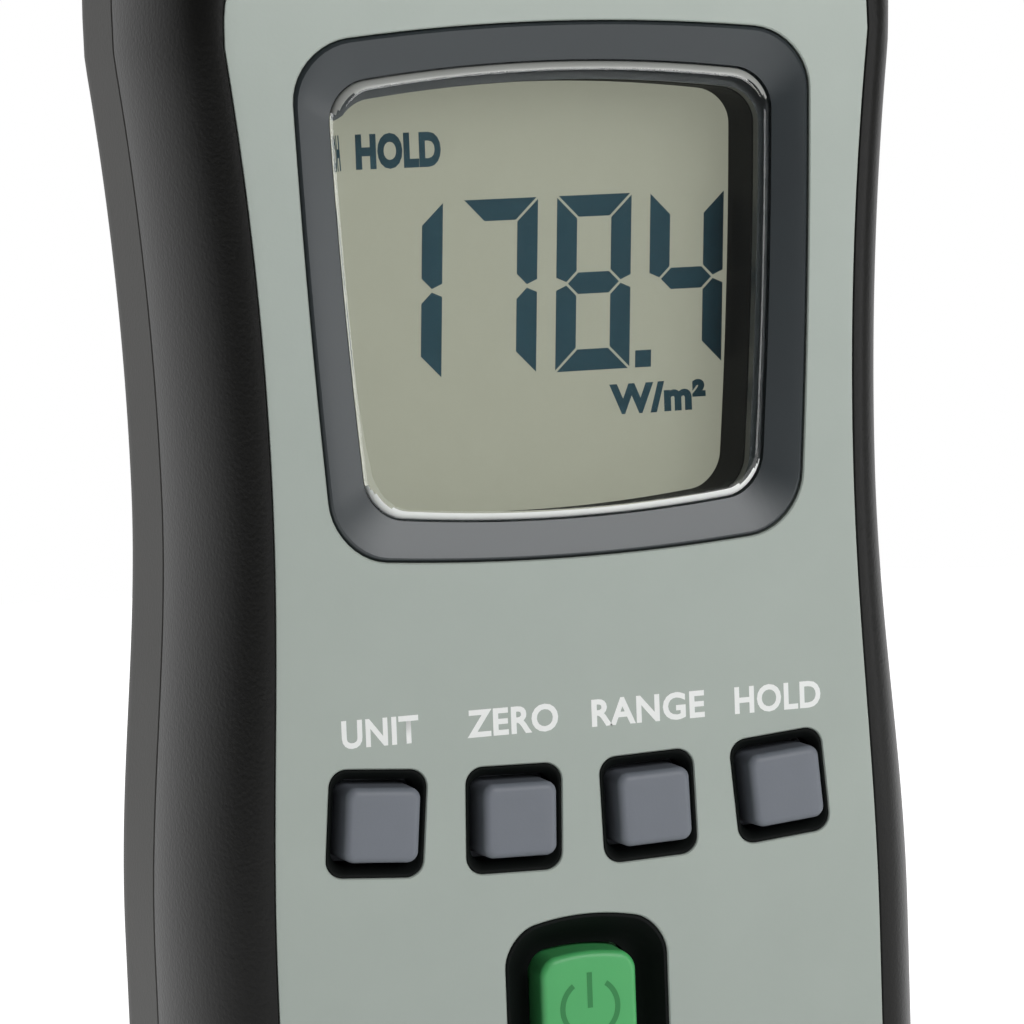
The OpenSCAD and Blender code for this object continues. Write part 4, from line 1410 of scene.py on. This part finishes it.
@dataclass
class Hardware:
    """The screws, the tripod insert, the cells and their springs."""

    shank_r: float = 1.25
    shank_l: float = 17.0
    cross_half: float = 1.45
    cross_w: float = 0.22
    head_h: float = 1.9
    thread_pitch: float = 1.27
    thread_r: float = 2.6
    thread_h: float = 0.42
    cell_r: float = 5.25
    cell_l: float = 44.5
    cell_pitch: float = 10.7
    cell_d: float = 25.45
    cell_count: int = 4
    sleeve_share: float = 0.7
    bay_z: tuple[float, float] = (9.4, 58.1)
    spring_l: float = 4.2
    spring_r: Point2 = (3.6, 2.0)
    turns: float = 3.5
    wire: float = 0.3

    def screws(self) -> bpy.types.Object:
        """Builds the four pan-head case screws with crossed recesses.

        Returns:
            The screws.
        """
        parts, r = [], self.shank_r
        for x, z in POSTS:
            head = [(0.0, 0.0), (r, 0.0), (2.5, 0.0), (2.5, 0.9), (2.35, 1.35), (1.9, 1.68), (1.2, 1.8), (0.0, 1.8)]
            one, cuts = lathe("screw head", head, 48), []
            for turn in (0.0, 90.0):
                bar = block("cross", (-self.cross_half, 0, -self.cross_w), (self.cross_half, 2.0, self.cross_w))
                shifted(bar, Matrix.Translation((0, -FACE_Y - 1, 0)))
                turned = Matrix.Rotation(math.radians(turn), 4, "Z")
                cuts.append(shifted(bar, Matrix.Translation((0, 0, self.head_h)) @ turned))
            shank = lathe("shank", [(0.0, -self.shank_l), (r, -self.shank_l), (r, 0.02), (0.0, 0.02)], 32)
            both = join("screw", [carve(one, cuts), shank])
            parts.append(shifted(both, standing(x, SCREW_SEAT_D, z, -90)))
        made = smooth(join("case screws", parts), 40, weighted=False)
        return dress(made, BLACK_ZINC, CASE, "case_screws", slot="plated_steel")

    def insert(self) -> bpy.types.Object:
        """Builds the brass insert with its real quarter-inch thread of 20 turns to the inch.

        Returns:
            The insert.
        """
        steps, rows = 48, 96
        turns = [math.tau * i / steps for i in range(steps)]
        points: list[Point3] = []
        for k in range(rows + 1):
            z = 0.5 + (INSERT_L - 0.5) * k / rows
            for i, a in enumerate(turns):
                turn = (z / self.thread_pitch - i / steps) % 1.0
                r = self.thread_r + self.thread_h * (1 - abs(2 * turn - 1)) * min(1.0, (INSERT_L - z) / 0.5 + 0.35)
                points.append((r * math.cos(a), r * math.sin(a), z))
        for r, z in ((INSERT_R - 0.3, INSERT_L), (INSERT_R, INSERT_L - 0.3), (INSERT_R, 0.0)):
            points += [(r * math.cos(a), r * math.sin(a), z) for a in turns]
        rings = [points[k : k + steps] for k in range(0, len(points), steps)]
        made = shifted(loft("tripod insert", rings), standing(0, BACK_D - INSERT_L, TRIPOD_Z, -90))
        return dress(smooth(made, 50, weighted=False), TURNED_BRASS, CASE, "tripod_insert", slot="brass")

    def at_cell(self, i: int, lift: float) -> Matrix:
        """Finds a place above a cell's negative end; every second cell is upside down.

        Args:
            i: The cell, from the left.
            lift: Distance from the end of the bay.

        Returns:
            The matrix of the place.
        """
        up = i % 2 == 0
        z = self.bay_z[0] + lift if up else self.bay_z[1] - lift
        return standing((i - (self.cell_count - 1) / 2) * self.cell_pitch, self.cell_d, z, 0.0 if up else 180.0)

    def cells(self) -> bpy.types.Object:
        """Builds the cells, each with a two-tone sleeve, a steel end and a nub.

        Returns:
            The cells.
        """
        r, l = self.cell_r, self.cell_l - 1.0
        cut, end = l * self.sleeve_share, l - 0.2
        foot = [(0.0, 0.25), (r - 0.9, 0.25), (r - 0.5, 0.05), (r - 0.12, 0.2), (r, 0.6)]
        rim = [(r, l - 0.6), (r - 0.12, end), (r - 0.5, l - 0.05), (r - 0.9, end), (0.0, end)]
        nub = [(0.0, l - 0.4), (1.9, l - 0.4), (1.7, l - 0.1), (1.35, l), (1.35, l + 0.8), (1.2, l + 1), (0.0, l + 1)]
        profiles = (
            ("sleeve", CELL_SLEEVE_DARK, 64, foot + [(r, cut), (0.0, cut)]),
            ("tip", CELL_SLEEVE, 64, [(0.0, cut), (r, cut)] + rim),
            ("steel", NICKEL_PLATE, 48, [(0.0, 0.0), (r - 1.0, 0.0), (r - 1.0, 0.26), (0.0, 0.26)]),
            ("nub", NICKEL_PLATE, 48, nub),
        )
        cells = []
        for i in range(self.cell_count):
            parts = []
            for name, finish, steps, profile in profiles:
                parts.append(lathe(name, profile, steps))
                parts[-1].data.materials.append(finish.build())
            cells.append(shifted(join("cell", parts), self.at_cell(i, self.spring_l)))
        made = smooth(join("cells", cells), 40, weighted=False)
        return dress(made, CELL_SLEEVE, CASE, "battery_cells", slot="cell_jacket")

    def springs(self) -> bpy.types.Object:
        """Builds the tapered coil springs of the negative ends.

        Returns:
            The springs.
        """
        steps, wire, (wide, narrow) = 40, self.wire, self.spring_r
        round_wire = [(wire * math.cos(math.tau * j / 10), wire * math.sin(math.tau * j / 10)) for j in range(10)]
        count, rings = int(self.turns * steps), []
        for k in range(count + 1):
            t = k / count
            r, a, z = wide + (narrow - wide) * t, math.tau * self.turns * t, wire + (self.spring_l - 2 * wire) * t
            rings.append([((r + u) * math.cos(a), (r + u) * math.sin(a), z + v) for u, v in round_wire])
        parts = [shifted(loft("spring", rings), self.at_cell(i, 0.0)) for i in range(self.cell_count)]
        made = smooth(join("battery springs", parts), 60, weighted=False)
        return dress(made, NICKEL_PLATE, CASE, "battery_springs", slot="plated_steel")


# Studio


class Side(Enum):
    """Where a soft box stands, as (name, place in mm, size in mm, power in watts)."""

    ABOVE = ("upper soft box", (190.0, -480.0, 290.0), 340.0, 2.05)
    RIGHT = ("right soft box", (380.0, -300.0, 0.0), 200.0, 0.5)


@dataclass
class Studio:
    """The camera at the photograph's viewing angle, soft boxes, and a white floor and backdrop."""

    turn: float = 18.5
    tilt: float = 5.934
    roll: float = 2.0865
    target: Point2 = (-5.004, 58.3)
    distance: float = 315.71
    lens: float = 139.85
    film: float = 36.0
    aim_z: float = 55.0
    floor_glow: float = 0.9
    floor_r: float = 420.0
    room: float = 0.08
    sweep: float = 0.9
    sweep_y: Point2 = (-0.02, 0.7)

    def camera(self) -> bpy.types.Object:
        """Makes the camera, which stands where the photographer did.

        Returns:
            The camera.
        """
        turn, tilt, roll = (math.radians(a) for a in (self.turn, self.tilt, self.roll))
        ahead = Vector((math.sin(turn) * math.cos(tilt), math.cos(turn) * math.cos(tilt), -math.sin(tilt)))
        right = Vector((math.cos(turn), -math.sin(turn), 0))
        up = right.cross(ahead)
        across = right * math.cos(roll) - up * math.sin(roll)
        upright = right * math.sin(roll) + up * math.cos(roll)
        data = bpy.data.cameras.new("camera")
        data.lens, data.sensor_width = self.lens, self.film
        data.clip_start, data.clip_end = 0.01, 20.0
        made = in_scene("camera", data)
        place = (Vector((self.target[0], FACE_Y, self.target[1])) - ahead * self.distance) * MM
        axes = Matrix((across, upright, -ahead)).transposed().to_4x4()
        axes.translation = place
        made.matrix_world = axes
        bpy.context.scene.camera = made
        return made

    def seen_rays(self, tree: bpy.types.NodeTree, *kinds: str) -> bpy.types.NodeSocket:
        """Returns 1 for the camera's rays and the named kinds of ray before they scatter, and 0 for the others.

        Args:
            tree: The node tree that gets the nodes.
            kinds: Outputs of the light path, such as its transmission ray.

        Returns:
            The output socket.
        """
        path = add_node(tree, "ShaderNodeLightPath").outputs
        seen = path["Is Camera Ray"]
        for kind in kinds:
            seen = add_node(tree, "ShaderNodeMath", {"operation": "MAXIMUM"}, links={0: seen, 1: path[kind]}).outputs[0]
        clamped = {"operation": "SUBTRACT", "use_clamp": True}
        return add_node(tree, "ShaderNodeMath", clamped, links={0: seen, 1: path["Diffuse Depth"]}).outputs[0]

    def lights(self) -> None:
        """Makes the soft boxes, each turned to the middle of the meter."""
        centre = Vector((0, 0, self.aim_z)) * MM
        for side in Side:
            name, place, size, power = side.value
            data = bpy.data.lights.new(name, "AREA")
            data.shape, data.size, data.energy = "SQUARE", size * MM, power
            made = in_scene(name, data)
            made.location = Vector(place) * MM
            made.rotation_mode = "QUATERNION"
            made.rotation_quaternion = (centre - made.location).to_track_quat("-Z", "Y")

    def surround(self) -> None:
        """Makes the white sweep behind the meter and the dimmer room before it.

        Camera rays see white all round, and glossy and transmission rays see it where the sweep stands.
        """
        world = bpy.data.worlds.new("studio")
        tree = fresh_tree(world)
        place = add_node(tree, "ShaderNodeTexCoord").outputs["Generated"]
        behind = add_node(
            tree,
            "ShaderNodeMapRange",
            settings={"interpolation_type": "SMOOTHSTEP"},
            values={"From Min": self.sweep_y[0], "From Max": self.sweep_y[1]},
            links={"Value": add_node(tree, "ShaderNodeSeparateXYZ", links={0: place}).outputs["Y"]},
        ).outputs[0]
        levels = {"To Min": self.room, "To Max": self.sweep}
        level = add_node(tree, "ShaderNodeMapRange", values=levels, links={"Value": behind}).outputs[0]
        seen = self.seen_rays(tree, "Is Transmission Ray", "Is Glossy Ray")
        mirrored = add_node(tree, "ShaderNodeMath", {"operation": "MULTIPLY"}, links={0: behind, 1: seen})
        for white in (mirrored.outputs[0], self.seen_rays(tree)):
            level = add_node(tree, "ShaderNodeMath", {"operation": "MAXIMUM"}, links={0: level, 1: white}).outputs[0]
        glow = add_node(tree, "ShaderNodeBackground", values={"Color": WHITE}, links={"Strength": level})
        add_node(tree, "ShaderNodeOutputWorld", links={"Surface": glow.outputs[0]})
        bpy.context.scene.world = world

    def floor(self) -> bpy.types.Object:
        """Makes the white floor, which reads as white paper and keeps the meter's shadow.

        Returns:
            The floor.
        """
        rim = [(x, z, 0.0) for x, z in circle(0.0, 0.0, self.floor_r, 96)]
        made = make_mesh("floor", rim, [tuple(range(len(rim)))])
        material = bpy.data.materials.new("white paper sweep")
        tree = fresh_tree(material)
        paper = add_node(tree, "ShaderNodeBsdfDiffuse", values={"Color": linear("#f2f2f2")})
        glow = add_node(tree, "ShaderNodeEmission", values={"Color": WHITE, "Strength": self.floor_glow})
        both = add_node(tree, "ShaderNodeAddShader", links={0: paper.outputs[0], 1: glow.outputs[0]})
        seen = self.seen_rays(tree, "Is Transmission Ray", "Is Glossy Ray")
        mix = add_node(tree, "ShaderNodeMixShader", links={0: seen, 1: paper.outputs[0], 2: both.outputs[0]})
        add_node(tree, "ShaderNodeOutputMaterial", links={"Surface": mix.outputs[0]})
        made.data.materials.append(material)
        return made

    def view(self) -> None:
        """Sets the plain view transform, so that a colour renders as it is written."""
        bpy.context.scene.view_settings.view_transform = "Standard"


INSIDE: tuple[tuple[Finish, str, tuple[str, ...]], ...] = (
    (SOLDER_MASK, "board_laminate", ("circuit_board", "sensor_board")),
    (CHIP_EPOXY, "chip_epoxy", ("processor_chip", "board_parts")),
    (WELL_ABS, "black_plastic", ("tact_switches", "sensor_header")),
    (NICKEL_PLATE, "plated_steel", ("battery_plates", "photodiode", "board_screws")),
    (NATURAL_ACETAL, "stem_plastic", ("unit_stem", "zero_stem", "range_stem", "hold_stem", "power_stem")),
    (STRIP_SILICONE, "strip_rubber", ("contact_strips",)),
)


def dress_inside() -> None:
    """Gives the CAD nodes that stay in sight, or that a cover bares, their finishes."""
    for finish, slot, nodes in INSIDE:
        for node in nodes:
            made = frame["nodes"][node]
            made.data.materials.clear()
            made.data.materials.append(finish.build())
            log.info("%s: finish %s", node, finish.name)


def main() -> None:
    """Builds the meter and its studio, piece by piece."""
    logging.basicConfig(level=logging.INFO, format="%(message)s")
    keys = [FunctionKey(name, i) for i, name in enumerate(("unit", "zero", "range", "hold"))]
    power, display, housing, hardware, studio = PowerKey(), Display(), Housing(), Hardware(), Studio()
    housing.front_shell()
    housing.back_shell()
    housing.panel(keys, display.frame)
    housing.wells(keys, power)
    housing.cover.build()
    for build in (display.bezel, display.lens, display.well, display.glass, display.reading):
        build()
    for key in (*keys, power):
        key.build()
    power.symbol()
    Legends().build()
    SensorHead().build()
    for build in (hardware.screws, hardware.insert, hardware.cells, hardware.springs):
        build()
    dress_inside()
    for build in (studio.camera, studio.lights, studio.surround, studio.floor, studio.view):
        build()


if __name__ == "__main__":
    main()
